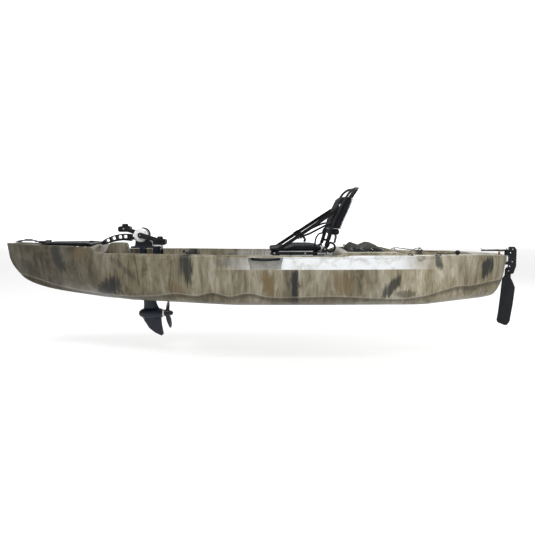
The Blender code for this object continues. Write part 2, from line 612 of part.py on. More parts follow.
    # Lift handle: a curved ladder that hinges on the head and lies on the console
    arm_axis = add_axis("lift_handle_axis", LIFT_PIN, lift)
    outer = through([(LIFT_PIN.x + 0.018, 0, 0.556), (-1.040, 0, 0.560), (-1.105, 0, 0.550),
                     (-1.160, 0, 0.530), (-1.200, 0, 0.508), (-1.224, 0, 0.483)], 10)
    inner = through([(-1.208, 0, 0.470), (-1.176, 0, 0.478), (-1.135, 0, 0.4910),
                     (-1.085, 0, 0.501), (-1.035, 0, 0.5065), (LIFT_PIN.x + 0.010, 0, 0.5005)], 10)
    outline = [(p.x, p.z) for p in outer + inner]
    arm = add_object("lift_handle", prism(outline, -0.024, 0.024, "XZ"), "black_plastic", arm_axis)
    for index, (x, z, lean) in enumerate(((-1.166, 0.507, 30), (-1.118, 0.524, 18),
                                          (-1.068, 0.534, 8), (-1.026, 0.537, 2))):
        window = block((-0.0155, -0.05, -0.0125), (0.0155, 0.05, 0.0125))
        place = Matrix.Translation((x, 0, z)) @ Matrix.Rotation(-radians(lean), 4, "Y")
        bmesh.ops.transform(window, matrix=place, verts=window.verts)
        boolean(arm, window, "DIFFERENCE", "window_%d" % index)
    fork = block((LIFT_PIN.x - 0.019, -0.0094, 0.500), (LIFT_PIN.x + 0.040, 0.0094, 0.580))
    boolean(arm, fork, "DIFFERENCE", "fork_gap")
    hole = rod((LIFT_PIN.x, -0.03, LIFT_PIN.z), (LIFT_PIN.x, 0.03, LIFT_PIN.z), 0.0044, 12)
    boolean(arm, hole, "DIFFERENCE", "arm_hole")
    return shaft_up, shaft_length


def make_gears(lift, shaft_up, shaft_length):
    crank_cone = atan2(CRANK_GEAR_TEETH, PINION_TEETH)
    prop_teeth = PINION_TEETH
    shaft_angle = atan2((-shaft_up).cross(Vector((-1, 0, 0))).length,
                        (-shaft_up).dot(Vector((-1, 0, 0))))
    ratio = LOWER_GEAR_TEETH / prop_teeth
    prop_cone = atan2(sin(shaft_angle), ratio + cos(shaft_angle))
    lower_cone = shaft_angle - prop_cone

    crank_axis = add_axis("crank_axis", CRANK, lift)
    shaft_axis = add_axis("drive_shaft_axis", APEX, lift)
    prop_axis = add_axis("propeller_axis", APEX, lift)

    down = -shaft_up
    # crank gear on the port side of the drive shaft; tooth 0 points down the shaft
    side = Vector((1, 0, 0))
    other = Vector((0, 1, 0)).cross(side)
    phase = atan2(down.dot(other), down.dot(side))
    gear = bevel_gear(CRANK_GEAR_TEETH, CRANK_GEAR_R, crank_cone, 0.010, CRANK, (0, 1, 0), phase,
                      0.0081)
    add_object("crank_gear", gear, "steel", crank_axis, smooth=False)
    pinion_r = CRANK_GEAR_R * PINION_TEETH / CRANK_GEAR_TEETH
    side = (Vector((1, 0, 0)) - shaft_up * shaft_up.x).normalized()
    other = shaft_up.cross(side)
    phase = atan2(Vector((0, -1, 0)).dot(other), Vector((0, -1, 0)).dot(side)) + pi / PINION_TEETH
    pinion = bevel_gear(PINION_TEETH, pinion_r, pi / 2 - crank_cone, 0.010, CRANK, shaft_up, phase,
                        0.0041)
    add_object("crank_pinion", pinion, "steel", shaft_axis, smooth=False)

    # lower pair: the gear on the drive shaft's end turns the small gear on the propeller shaft
    gear = bevel_gear(LOWER_GEAR_TEETH, LOWER_GEAR_R, lower_cone, 0.009, APEX, down, 0.0, 0.0041)
    add_object("lower_gear", gear, "steel", shaft_axis, smooth=False)
    prop_r = LOWER_GEAR_R * prop_teeth / LOWER_GEAR_TEETH
    phase = pi / prop_teeth
    gear = bevel_gear(prop_teeth, prop_r, prop_cone, 0.009, APEX, (-1, 0, 0), phase, 0.0041)
    add_object("propeller_gear", gear, "steel", prop_axis, smooth=False)

    shaft = rod(drive_line(0.0125), drive_line(shaft_length - 0.0245), 0.004, 14)
    add_object("drive_shaft", shaft, "steel", shaft_axis)
    return crank_axis, shaft_axis, prop_axis


def make_cranks(crank_axis):
    shaft = rod((CRANK.x, -0.0940, CRANK.z), (CRANK.x, 0.0940, CRANK.z), 0.0078, 18, 0.001)
    add_object("crank_shaft", shaft, "steel", crank_axis)
    reach = Vector((cos(CRANK_ANGLE), 0, -sin(CRANK_ANGLE)))
    for label, sign in (("port", -1), ("starboard", 1)):
        way = reach * -sign
        tip = CRANK + way * CRANK_LENGTH
        low, high = sorted((sign * 0.0730, sign * 0.0880))
        across = Vector((-way.z, 0, way.x))
        outline = []
        for step in range(9):
            turn = pi / 2 + pi * step / 8
            outline.append(CRANK + (way * cos(turn) + across * sin(turn)) * 0.0210)
        for step in range(9):
            turn = -pi / 2 + pi * step / 8
            outline.append(tip + (way * cos(turn) + across * sin(turn)) * 0.0150)
        arm = prism([(p.x, p.z) for p in outline], low, high, "XZ")
        arm = add_object("crank_arm_" + label, round_edges(arm, 0.002, 1, 60), "black_plastic",
                         crank_axis)
        for place, radius in ((CRANK, 0.0081), (tip, 0.0063)):
            hole = rod((place.x, low - 0.01, place.z), (place.x, high + 0.01, place.z), radius, 16)
            boolean(arm, hole, "DIFFERENCE", "arm_bore_%s_%d" % (label, radius * 10000))
        axle = turned([(0, 0.0735), (0.006, 0.0735), (0.006, 0.0885), (0.0085, 0.0885),
                       (0.0085, 0.0925), (0.006, 0.0925), (0.006, 0.1770), (0, 0.1770)],
                      (tip.x, 0, tip.z), (0, sign, 0), 16)
        add_object("pedal_axle_" + label, axle, "steel", crank_axis)

        pedal_axis = add_axis("pedal_axis_" + label, tip, crank_axis)
        low, high = sorted((sign * 0.0945, sign * 0.1830))
        body = [(-0.050, -0.018), (-0.038, -0.026), (0.038, -0.026), (0.050, -0.018), (0.050, 0.012),
                (0.038, 0.019), (-0.038, 0.019), (-0.050, 0.012)]
        pedal = prism([(tip.x + a, tip.z + b) for a, b in body], low, high, "XZ")
        pedal = add_object("pedal_" + label, round_edges(pedal, 0.003, 1, 60), "black_plastic",
                           pedal_axis)
        for index, shift in enumerate((-0.026, 0.026)):
            gap = block((tip.x + shift - 0.013, low + 0.012, tip.z - 0.05),
                        (tip.x + shift + 0.013, high - 0.012, tip.z + 0.05))
            boolean(pedal, gap, "DIFFERENCE", "tread_%s_%d" % (label, index))
        bore = rod((tip.x, sign * 0.08, tip.z), (tip.x, sign * 0.178, tip.z), 0.0064, 14)
        boolean(pedal, bore, "DIFFERENCE", "pedal_bore_" + label)


def make_propeller(prop_axis):
    x, z = APEX.x, APEX.z
    shaft = rod((x + 0.0235, 0, z), (x + 0.152, 0, z), 0.0040, 14)
    add_object("propeller_shaft", shaft, "steel", prop_axis)
    hub = turned([(0.0043, 0.1055), (0.024, 0.1055), (0.0285, 0.112), (0.0275, 0.146),
                  (0.0200, 0.150), (0.0043, 0.150)], (x, 0, z), (1, 0, 0), 24)
    hub = add_object("propeller", hub, "navy_casting", prop_axis)
    hub_x = x + 0.128
    for index in range(2):
        turn = PROP_ANGLE + index * pi
        out = Vector((0, -sin(turn), cos(turn)))
        round_way = Vector((1, 0, 0)).cross(out)
        rings = []
        for share in (0.0, 0.25, 0.5, 0.75, 0.92, 1.0):
            radius = 0.018 + (PROP_RADIUS - 0.018) * share
            half = 0.5 * (0.028 + 0.026 * sin(pi * min(1.0, 0.12 + share * 0.72)))
            if share > 0.9:
                half *= 1.0 if share < 1 else 0.45
            pitch = radians(50 - 34 * share)
            chord = round_way * cos(pitch) + Vector((1, 0, 0)) * sin(pitch)
            thick = chord.cross(out) * (0.0035 - 0.0022 * share)
            centre = Vector((hub_x + 0.022 * share, 0, z)) + out * radius
            rings.append([centre - chord * half, centre - chord * half * 0.4 + thick,
                          centre + chord * half * 0.4 + thick, centre + chord * half,
                          centre + chord * half * 0.4 - thick, centre - chord * half * 0.4 - thick])
        boolean(hub, loft(rings), "UNION", "blade_%d" % index)
    nut = turned([(0, 0.1525), (0.0195, 0.1525), (0.0195, 0.158), (0.014, 0.168), (0.006, 0.174),
                  (0, 0.175)], (x, 0, z), (1, 0, 0), 20)
    add_object("propeller_nut", nut, "navy_casting", prop_axis)


# Rudder --------------------------------------------------------------------------------------------

def make_rudder():
    x = RUDDER_AXIS.x
    bracket = block((STERN_X + GAP, -0.026, 0.330), (x - 0.016, 0.026, 0.3900), 0.003, 1)
    bracket = add_object("rudder_bracket", bracket, "black_plastic")
    for index, z in enumerate((0.334, 0.376)):
        knuckle = rod((x, 0, z), (x, 0, z + 0.010), 0.016, 16)
        arm = block((STERN_X + 0.010, -0.014, z), (x, 0.014, z + 0.010))
        boolean(bracket, arm, "UNION", "bracket_arm_%d" % index)
        boolean(bracket, knuckle, "UNION", "knuckle_%d" % index)
    boolean(bracket, rod((x, 0, 0.30), (x, 0, 0.42), 0.0054, 14), "DIFFERENCE", "pintle_bore")
    pintle = rod((x, 0, 0.3105), (x, 0, 0.4455), 0.005, 14, 0.0006)

    steer = add_axis("rudder_axis", RUDDER_AXIS)
    add_object("rudder_pintle", pintle, "steel", steer)
    cheek = [(x + 0.020, 0.300), (x + 0.014, 0.286), (x + 0.030, 0.234), (x + 0.058, 0.240),
             (x + 0.078, 0.300), (x + 0.078, 0.430), (x + 0.062, 0.456), (x + 0.020, 0.456)]
    head = prism(cheek, -0.0135, 0.0135, "XZ")
    head = add_object("rudder_head", head, "black_plastic", steer)
    for index, (low, high) in enumerate(((0.312, 0.3335), (0.3870, 0.4205))):
        lug = rod((x, 0, low), (x, 0, high), 0.0155, 16)
        arm = block((x, -0.012, low), (x + 0.030, 0.012, high))
        boolean(head, arm, "UNION", "head_arm_%d" % index)
        boolean(head, lug, "UNION", "head_lug_%d" % index)
    boolean(head, rod((x, 0, 0.28), (x, 0, 0.46), 0.0053, 14), "DIFFERENCE", "head_bore")
    slot = block((x - 0.02, -0.0058, 0.20), (x + 0.10, 0.0058, 0.3085))
    boolean(head, slot, "DIFFERENCE", "blade_slot")
    bx, bz = BLADE_PIN.x, BLADE_PIN.z
    boolean(head, rod((bx, -0.03, bz), (bx, 0.03, bz), 0.0044, 12), "DIFFERENCE", "blade_pin_bore")
    for index, z in enumerate((0.335, 0.435)):
        hole = rod((x + 0.050, -0.03, z), (x + 0.050, 0.03, z), 0.0075, 14)
        boolean(head, hole, "DIFFERENCE", "line_hole_%d" % index)

    tiller = prism([(x + 0.012, -0.020), (x + 0.012, 0.020), (x - 0.020, 0.022),
                    (x - 0.070, 0.012), (x - 0.196, 0.008), (x - 0.205, 0.0), (x - 0.196, -0.008),
                    (x - 0.070, -0.012), (x - 0.020, -0.022)], 0.4208, 0.4330)
    tiller = add_object("rudder_yoke", round_edges(tiller, 0.002, 1, 60), "black_plastic", steer)
    wing = prism([(x - 0.070, -0.058), (x - 0.050, -0.058), (x - 0.040, -0.010), (x - 0.040, 0.010),
                  (x - 0.050, 0.058), (x - 0.070, 0.058), (x - 0.085, 0.010), (x - 0.085, -0.010)],
                 0.4215, 0.4320)
    boolean(tiller, wing, "UNION", "yoke_wings")
    boolean(tiller, rod((x, 0, 0.40), (x, 0, 0.45), 0.0053, 14), "DIFFERENCE", "yoke_bore")

    blade_axis = add_axis("blade_axis", BLADE_PIN, steer)
    outline = [(1.997, 0.200), (1.986, 0.060), (1.972, -0.080), (1.963, -0.140), (1.972, -0.158),
               (2.030, -0.182), (2.050, -0.178), (2.069, -0.150), (2.090, -0.010), (2.103, 0.124),
               (2.085, 0.170), (2.066, 0.205), (2.066, 0.275), (2.052, 0.290), (2.030, 0.290),
               (2.018, 0.275), (2.016, 0.225)]
    blade = round_edges(prism(outline, -0.0052, 0.0052, "XZ"), 0.0025, 1, 60)
    blade = add_object("rudder_blade", blade, "black_plastic", blade_axis)
    boolean(blade, rod((bx, -0.03, bz), (bx, 0.03, bz), 0.0044, 12), "DIFFERENCE", "pin_bore")
    pin = rod((bx, -0.018, bz), (bx, 0.018, bz), 0.004, 12)
    add_object("blade_pin", pin, "steel", steer)


# Seat ----------------------------------------------------------------------------------------------

def make_seat():
    slide = add_axis("seat_slide_axis", (0.3, 0.0, 0.4))
    frame = block((0.130, -0.262, 0.4080), (0.560, 0.262, 0.4300), 0.004, 1)
    frame = add_object("seat_frame", frame, "black_tube", slide)
    boolean(frame, block((0.154, -0.236, 0.39), (0.520, 0.236, 0.45)), "DIFFERENCE", "frame_mouth")
    for label, sign in (("port", -1), ("starboard", 1)):
        for place, x0, x1 in (("fore", 0.150, 0.200), ("aft", 0.490, 0.540)):
            low, high = sorted((sign * 0.2495, sign * 0.2620))
            leg = block((x0, low, LEDGE_Z + 0.0145), (x1, high, 0.4200))
            boolean(frame, leg, "UNION", "leg_%s_%s" % (place, label))
        low, high = sorted((sign * 0.238, sign * 0.262))
        ear = prism([(SEAT_HINGE.x - 0.030, 0.425), (SEAT_HINGE.x + 0.015, 0.425),
                     (SEAT_HINGE.x + 0.015, 0.460), (SEAT_HINGE.x, 0.470),
                     (SEAT_HINGE.x - 0.016, 0.460)], low, high, "XZ")
        boolean(frame, ear, "UNION", "ear_" + label)
    bore = rod((SEAT_HINGE.x, -0.30, SEAT_HINGE.z), (SEAT_HINGE.x, 0.30, SEAT_HINGE.z), 0.0054, 14)
    boolean(frame, bore, "DIFFERENCE", "hinge_bore")
    hinge = rod((SEAT_HINGE.x, -0.272, SEAT_HINGE.z), (SEAT_HINGE.x, 0.272, SEAT_HINGE.z), 0.005, 12)
    add_object("seat_hinge_rod", hinge, "steel", slide)

    for label, sign in (("port", -1), ("starboard", 1)):
        spot = (0.285, sign * 0.2625, 0.4190)
        clamp_axis = add_axis("clamp_axis_" + label, spot, slide)
        clamp = turned([(0, GAP), (0.009, GAP), (0.009, 0.006), (0.013, 0.007), (0.013, 0.018),
                        (0, 0.018)], spot, (0, sign, 0), 16)
        clamp = add_object("seat_clamp_" + label, clamp, "black_plastic", clamp_axis)
        low, high = sorted((spot[1] + sign * 0.0085, spot[1] + sign * 0.0165))
        handle = block((spot[0] - 0.046, low, spot[2] - 0.008), (spot[0] + 0.005, high,
                                                                 spot[2] + 0.008), 0.002, 1)
        boolean(clamp, handle, "UNION", "clamp_lever_" + label)

    pad = [(0.126, 0.4480), (0.138, 0.4305), (0.500, 0.4305), (0.516, 0.4420), (0.516, 0.470),
           (0.490, 0.480), (0.330, 0.486), (0.300, 0.478), (0.255, 0.462), (0.150, 0.460),
           (0.131, 0.456)]
    cushion = round_edges(prism(pad, -0.232, 0.232, "XZ"), 0.008, 1, 60)
    add_object("seat_pad", cushion, "seat_fabric", slide)

    back = add_axis("seat_back_axis", SEAT_HINGE, slide)
    side_route = [(SEAT_HINGE.x, 0.212, SEAT_HINGE.z), (0.566, 0.212, 0.500), (0.602, 0.212, 0.620),
                  (0.655, 0.212, 0.745), (0.720, 0.208, 0.865), (0.768, 0.186, 0.908)]
    top_route = [(0.806, 0.130, 0.916), (0.814, 0.060, 0.918)]
    starboard = [Vector(p) for p in side_route + top_route]
    port = [Vector((p.x, -p.y, p.z)) for p in reversed(starboard)]
    frame = add_object("back_frame", bar(through(starboard + port, 33), 0.0095, 8), "black_tube", back)
    for label, sign in (("port", -1), ("starboard", 1)):
        bush = rod((SEAT_HINGE.x, sign * 0.198, SEAT_HINGE.z),
                   (SEAT_HINGE.x, sign * 0.2365, SEAT_HINGE.z), 0.0125, 16)
        boolean(frame, bush, "UNION", "back_bush_" + label)
    boolean(frame, rod((SEAT_HINGE.x, -0.3, SEAT_HINGE.z), (SEAT_HINGE.x, 0.3, SEAT_HINGE.z),
                       0.0054, 14), "DIFFERENCE", "back_bore")

    front = [(0.578, 0.620), (0.600, 0.690), (0.633, 0.765), (0.668, 0.842)]
    rear = [(0.744, 0.862), (0.774, 0.846), (0.733, 0.748), (0.690, 0.650), (0.672, 0.596),
            (0.636, 0.590)]
    pad = round_edges(prism(front + [(0.690, 0.858)] + rear, -0.1985, 0.1985, "XZ"), 0.010, 1, 60)
    back_pad = add_object("back_pad", pad, "seat_fabric", back)
    lumbar = prism([(0.570, 0.602), (0.588, 0.560), (0.660, 0.555), (0.668, 0.600), (0.600, 0.640),
                    (0.580, 0.624)], -0.196, 0.196, "XZ")
    boolean(back_pad, lumbar, "UNION", "lumbar_roll")
    for label, sign in (("port", -1), ("starboard", 1)):
        route = through([(0.170, sign * 0.2700, 0.4420), (0.270, sign * 0.2680, 0.5080),
                         (0.400, sign * 0.2600, 0.6000), (0.520, sign * 0.2480, 0.6860),
                         (0.628, sign * 0.2260, 0.7600)], 14)
        add_object("support_strap_" + label, strip(route, 0.003, 0.030), "webbing", back)


def main():
    for obj in list(bpy.data.objects):
        bpy.data.objects.remove(obj, do_unlink=True)
    make_hull()
    make_deck_fittings()
    make_hatch(add_axis("hatch_axis", HATCH_HINGE))
    make_rigging()
    make_steering(add_axis("steering_axis", STEER_AXIS))
    lift = add_axis("drive_lift_axis", (CRANK.x, 0, 0.3))
    shaft_up, shaft_length = make_drive(lift)
    crank_axis, shaft_axis, prop_axis = make_gears(lift, shaft_up, shaft_length)
    make_cranks(crank_axis)
    make_propeller(prop_axis)
    make_rudder()
    make_seat()


main()
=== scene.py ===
from math import cos, pi, radians, sin, tau

import bmesh
import bpy
from mathutils import Matrix, Vector, noise


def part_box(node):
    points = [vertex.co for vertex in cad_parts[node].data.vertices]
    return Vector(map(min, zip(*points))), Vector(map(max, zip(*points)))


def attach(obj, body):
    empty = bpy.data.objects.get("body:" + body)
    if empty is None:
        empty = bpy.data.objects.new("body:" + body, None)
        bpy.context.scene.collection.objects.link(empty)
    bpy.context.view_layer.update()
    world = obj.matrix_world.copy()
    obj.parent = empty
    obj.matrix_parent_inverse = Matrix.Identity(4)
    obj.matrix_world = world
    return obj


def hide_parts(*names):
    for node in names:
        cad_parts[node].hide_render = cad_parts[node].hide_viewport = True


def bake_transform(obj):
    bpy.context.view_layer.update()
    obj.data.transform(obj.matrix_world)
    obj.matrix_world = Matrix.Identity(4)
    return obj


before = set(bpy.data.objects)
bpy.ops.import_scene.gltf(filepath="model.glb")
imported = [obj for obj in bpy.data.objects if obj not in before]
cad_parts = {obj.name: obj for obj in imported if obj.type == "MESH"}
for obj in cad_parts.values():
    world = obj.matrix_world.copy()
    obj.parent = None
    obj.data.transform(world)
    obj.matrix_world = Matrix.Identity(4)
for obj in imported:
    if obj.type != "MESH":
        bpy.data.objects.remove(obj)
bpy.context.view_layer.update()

print("kayak: frame loaded,", len(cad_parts), "nodes")

# ---- small shop helpers ----

def smooth(value, low, high):
    t = min(1.0, max(0.0, (value - low) / (high - low)))
    return t * t * (3 - 2 * t)


def lineThrough(points, x):
    # monotone cubic through a few (x, value) points
    if x <= points[0][0]:
        return points[0][1]
    if x >= points[-1][0]:
        return points[-1][1]
    slopes = [(b[1] - a[1]) / (b[0] - a[0]) for a, b in zip(points, points[1:])]
    i = max(k for k in range(len(slopes)) if points[k][0] <= x)

    def tangent(k):
        if k == 0 or k == len(slopes) or slopes[k - 1] * slopes[k] <= 0:
            return 0.0
        return 2 * slopes[k - 1] * slopes[k] / (slopes[k - 1] + slopes[k])

    (x0, y0), (x1, y1) = points[i], points[i + 1]
    h = x1 - x0
    t = (x - x0) / h
    return ((2 * t**3 - 3 * t**2 + 1) * y0 + (t**3 - 2 * t**2 + t) * h * tangent(i)
            + (3 * t**2 - 2 * t**3) * y1 + (t**3 - t**2) * h * tangent(i + 1))


def curveThrough(points, count):
    # evenly stepped points on a smooth curve through a few route points
    points = [Vector(p) for p in points]
    padded = [2 * points[0] - points[1], *points, 2 * points[-1] - points[-2]]
    runs = len(points) - 1
    route = []
    for step in range(count):
        place = step * runs / (count - 1)
        i = min(int(place), runs - 1)
        t = place - i
        a, b, c, d = padded[i:i + 4]
        route.append(0.5 * (2 * b + (c - a) * t + (2 * a - 5 * b + 4 * c - d) * t * t
                            + (3 * b - a - 3 * c + d) * t**3))
    return route


def addPiece(name, bm, material, body, smoothAngle=40, replaces=()):
    mesh = bpy.data.meshes.new(name)
    bm.to_mesh(mesh)
    bm.free()
    mesh.shade_smooth()
    if smoothAngle:
        mesh.set_sharp_from_angle(angle=radians(smoothAngle))
    mesh.materials.append(material)
    piece = bpy.data.objects.new(name, mesh)
    bpy.context.collection.objects.link(piece)
    if body:
        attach(piece, body)
    if replaces:
        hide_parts(*replaces)
    return piece


def softPiece(name, bm, material, body, smoothAngle=0, replaces=(), subdivide=False):
    # padded goods: a closed form, given one level of subdivision when asked
    piece = addPiece(name, bm, material, body, smoothAngle, replaces)
    if subdivide:
        soften = piece.modifiers.new("soften", "SUBSURF")
        soften.levels = soften.render_levels = 1
    return piece


def squared(value, power):
    # rounds a circle's sine or cosine towards a square, keeping its sign
    return abs(value) ** power * (1 if value >= 0 else -1)


def joinBm(target, extra):
    # pour one bmesh into another
    scrap = bpy.data.meshes.new("scrap")
    extra.to_mesh(scrap)
    extra.free()
    target.from_mesh(scrap)
    bpy.data.meshes.remove(scrap)
    return target


def loftBm(rings, caps=True, closed=True):
    bm = bmesh.new()
    loops = []
    for ring in rings:
        verts = [bm.verts.new(p) for p in ring]
        pairs = zip(verts, verts[1:] + (verts[:1] if closed else []))
        loops.append([bm.edges.new(pair) for pair in pairs])
    for first, second in zip(loops, loops[1:]):
        bmesh.ops.bridge_loops(bm, edges=first + second)
    if caps:
        for loop in (loops[0], loops[-1]):
            bmesh.ops.contextual_create(bm, geom=loop)
    bmesh.ops.recalc_face_normals(bm, faces=bm.faces)
    return bm


def bevelSharp(bm, width, segments=2, angle=30):
    edges = [e for e in bm.edges if len(e.link_faces) == 2 and e.calc_face_angle(0) > radians(angle)]
    bmesh.ops.bevel(bm, geom=edges, offset=width, affect="EDGES", segments=segments, profile=0.5,
                    material=-1, clamp_overlap=True)
    return bm


def prismBm(outline, low, high, plane="XY", bevel=0.0, segments=2, flare=0.0):
    place = {"XY": lambda a, b, c: (a, b, c), "XZ": lambda a, b, c: (a, c, b),
             "YZ": lambda a, b, c: (c, a, b)}[plane]
    middle = (sum(p[0] for p in outline) / len(outline), sum(p[1] for p in outline) / len(outline))
    rings = []
    for level, grow in ((low, 0.0), (high, flare)):
        ring = []
        for a, b in outline:
            away = Vector((a - middle[0], b - middle[1]))
            away = away.normalized() * grow
            ring.append(Vector(place(a + away.x, b + away.y, level)))
        rings.append(ring)
    bm = loftBm(rings)
    return bevelSharp(bm, bevel, segments) if bevel else bm


def boxBm(low, high, bevel=0.0, segments=2):
    outline = [(low[0], low[1]), (high[0], low[1]), (high[0], high[1]), (low[0], high[1])]
    return prismBm(outline, low[2], high[2], bevel=bevel, segments=segments)


def turnedBm(profile, centre, axis, steps=32):
    # profile is (radius, distance along the axis)
    turn = Vector((0, 0, 1)).rotation_difference(Vector(axis).normalized()).to_matrix().to_4x4()
    bm = bmesh.new()
    verts = [bm.verts.new((r, 0, h)) for r, h in profile]
    edges = [bm.edges.new(pair) for pair in zip(verts, verts[1:])]
    if profile[0][0] > 0:
        edges.append(bm.edges.new((verts[-1], verts[0])))
    bmesh.ops.spin(bm, geom=verts + edges, cent=(0, 0, 0), axis=(0, 0, 1), angle=tau, steps=steps,
                   use_merge=True)
    bmesh.ops.remove_doubles(bm, verts=bm.verts, dist=0.00001)
    bmesh.ops.recalc_face_normals(bm, faces=bm.faces)
    bmesh.ops.transform(bm, matrix=Matrix.Translation(centre) @ turn, verts=bm.verts)
    return bm


def rodBm(start, end, radius, steps=16, round=0.0):
    start, end = Vector(start), Vector(end)
    length = (end - start).length
    profile = [(0, 0), (radius - round, 0), (radius, round), (radius, length - round),
               (radius - round, length), (0, length)]
    if round <= 0:
        profile = [(0, 0), (radius, 0), (radius, length), (0, length)]
    return turnedBm(profile, start, end - start, steps)


def tubeBm(points, radius, sides=10, closed=False, squash=1.0):
    # round bar or cord along points
    route = [Vector(p) for p in points]
    side = (route[1] - route[0]).cross(Vector((0.13, 0.21, 1))).normalized()
    rings = []
    count = len(route)
    for i, point in enumerate(route):
        before = route[(i - 1) % count] if closed else route[max(i - 1, 0)]
        after = route[(i + 1) % count] if closed else route[min(i + 1, count - 1)]
        ahead = (after - before).normalized()
        side = (side - ahead * side.dot(ahead)).normalized()
        up = ahead.cross(side)
        rings.append([point + (side * cos(a) * squash + up * sin(a)) * radius
                      for a in [tau * k / sides for k in range(sides)]])
    if closed:
        rings.append(rings[0])
    bm = loftBm(rings, caps=not closed)
    if closed:
        bmesh.ops.remove_doubles(bm, verts=bm.verts, dist=0.00001)
        bmesh.ops.recalc_face_normals(bm, faces=bm.faces)
    return bm


def bandBm(points, width, thickness, across):
    # flat webbing along a route; across is a vector or one for each point
    route = [Vector(p) for p in points]
    rings = []
    for i, point in enumerate(route):
        ahead = (route[min(i + 1, len(route) - 1)] - route[max(i - 1, 0)]).normalized()
        wide = Vector(across[i] if isinstance(across, list) else across)
        wide = (wide - ahead * wide.dot(ahead)).normalized() * width / 2
        up = ahead.cross(wide).normalized() * thickness / 2
        rings.append([point - wide * 0.96 - up, point + wide * 0.96 - up, point + wide,
                      point + wide * 0.96 + up, point - wide * 0.96 + up, point - wide])
    return loftBm(rings)


# ---- camera, stage, light ----

stage = {"cameraPlace": (0.108, -5.1, 0.76), "pitch": 5.29, "lens": 42.86, "floorZ": -0.42,
         "floorColour": (0.66, 0.66, 0.66), "floorGlow": 0.38, "wallColour": (0.8, 0.8, 0.8),
         "wallGlow": 0.75, "room": 0.42,
         # place, size, power
         "lamps": {"key": ((-1.4, -3.4, 4.6), 2.6, 230), "rim": ((2.2, 3.4, 3.8), 2.6, 110),
                   "aft": ((4.0, -3.2, 1.8), 1.6, 60)}}


def glowMaterial(name, colour, glow):
    material = bpy.data.materials.new(name)
    material.use_nodes = True
    shader = material.node_tree.nodes["Principled BSDF"]
    shader.inputs["Base Color"].default_value = (*colour, 1)
    shader.inputs["Roughness"].default_value = 1.0
    shader.inputs["Specular IOR Level"].default_value = 0.0
    shader.inputs["Emission Color"].default_value = (1, 1, 1, 1)
    shader.inputs["Emission Strength"].default_value = glow
    return material


def setStage():
    camera = bpy.data.cameras.new("camera")
    camera.lens = stage["lens"]
    camera.sensor_width = 36
    cameraObject = bpy.data.objects.new("camera", camera)
    bpy.context.collection.objects.link(cameraObject)
    cameraObject.location = stage["cameraPlace"]
    cameraObject.rotation_euler = (radians(90 - stage["pitch"]), 0, 0)
    bpy.context.scene.camera = cameraObject

    paper = glowMaterial("paperFloor", stage["floorColour"], stage["floorGlow"])
    bm = bmesh.new()
    bmesh.ops.create_grid(bm, x_segments=1, y_segments=1, size=60)
    bmesh.ops.translate(bm, verts=bm.verts, vec=(0, 0, stage["floorZ"]))
    floor = addPiece("floor", bm, paper, None, smoothAngle=0)

    # pale wall far behind the boat
    wall = glowMaterial("paleWall", stage["wallColour"], stage["wallGlow"])
    bm = bmesh.new()
    bmesh.ops.create_grid(bm, x_segments=1, y_segments=1, size=30,
                          matrix=Matrix.Translation((0, 14, 0)) @ Matrix.Rotation(radians(90), 4, "X"))
    backdrop = addPiece("backdrop", bm, wall, None, smoothAngle=0)

    world = bpy.data.worlds.new("softRoom")
    world.use_nodes = True
    world.node_tree.nodes["Background"].inputs["Color"].default_value = (1, 1, 1, 1)
    world.node_tree.nodes["Background"].inputs["Strength"].default_value = stage["room"]
    bpy.context.scene.world = world
    bpy.context.scene.view_settings.view_transform = "Standard"

    for name, (place, size, power) in stage["lamps"].items():
        lamp = bpy.data.lights.new(name, "AREA")
        lamp.shape = "SQUARE"
        lamp.size = size
        lamp.energy = power
        lampObject = bpy.data.objects.new(name, lamp)
        bpy.context.collection.objects.link(lampObject)
        lampObject.location = place
        aim = Vector((0.1, 0, 0.3)) - Vector(place)
        lampObject.rotation_euler = aim.to_track_quat("-Z", "Y").to_euler()


setStage()
print("kayak: stage set")

# ---- shader groups ----

def newGroup(name, inputs, outputs):
    group = bpy.data.node_groups.new(name, "ShaderNodeTree")
    for label, kind, value in inputs:
        socket = group.interface.new_socket(label, in_out="INPUT", socket_type=kind)
        if value is not None:
            socket.default_value = value
    for label, kind in outputs:
        group.interface.new_socket(label, in_out="OUTPUT", socket_type=kind)
    return group, group.nodes.new("NodeGroupInput"), group.nodes.new("NodeGroupOutput")


def node(tree, kind, links=None, **settings):
    made = tree.nodes.new(kind)
    for key, value in settings.items():
        setattr(made, key, value)
    for socket, source in (links or {}).items():
        target = made.inputs[socket]
        if isinstance(source, bpy.types.NodeSocket):
            tree.links.new(source, target)
        else:
            target.default_value = source
    return made


def maths(tree, operation, a, b=0.0, clamp=False):
    return node(tree, "ShaderNodeMath", {0: a, 1: b}, operation=operation, use_clamp=clamp).outputs[0]


def mixColour(tree, share, first, second, blend="MIX"):
    made = node(tree, "ShaderNodeMix", {"Factor": share}, data_type="RGBA", blend_type=blend)
    for socket, source in ((made.inputs[6], first), (made.inputs[7], second)):
        if isinstance(source, bpy.types.NodeSocket):
            tree.links.new(source, socket)
        else:
            socket.default_value = (*source, 1)
    return made.outputs[2]


def ramp(tree, value, stops, interpolation="LINEAR"):
    made = node(tree, "ShaderNodeValToRGB", {0: value})
    made.color_ramp.interpolation = interpolation
    elements = made.color_ramp.elements
    while len(elements) < len(stops):
        elements.new(0.5)
    for element, (position, colour) in zip(elements, stops):
        element.position = position
        element.color = (*colour, 1) if len(colour) == 3 else colour
    return made.outputs[0]


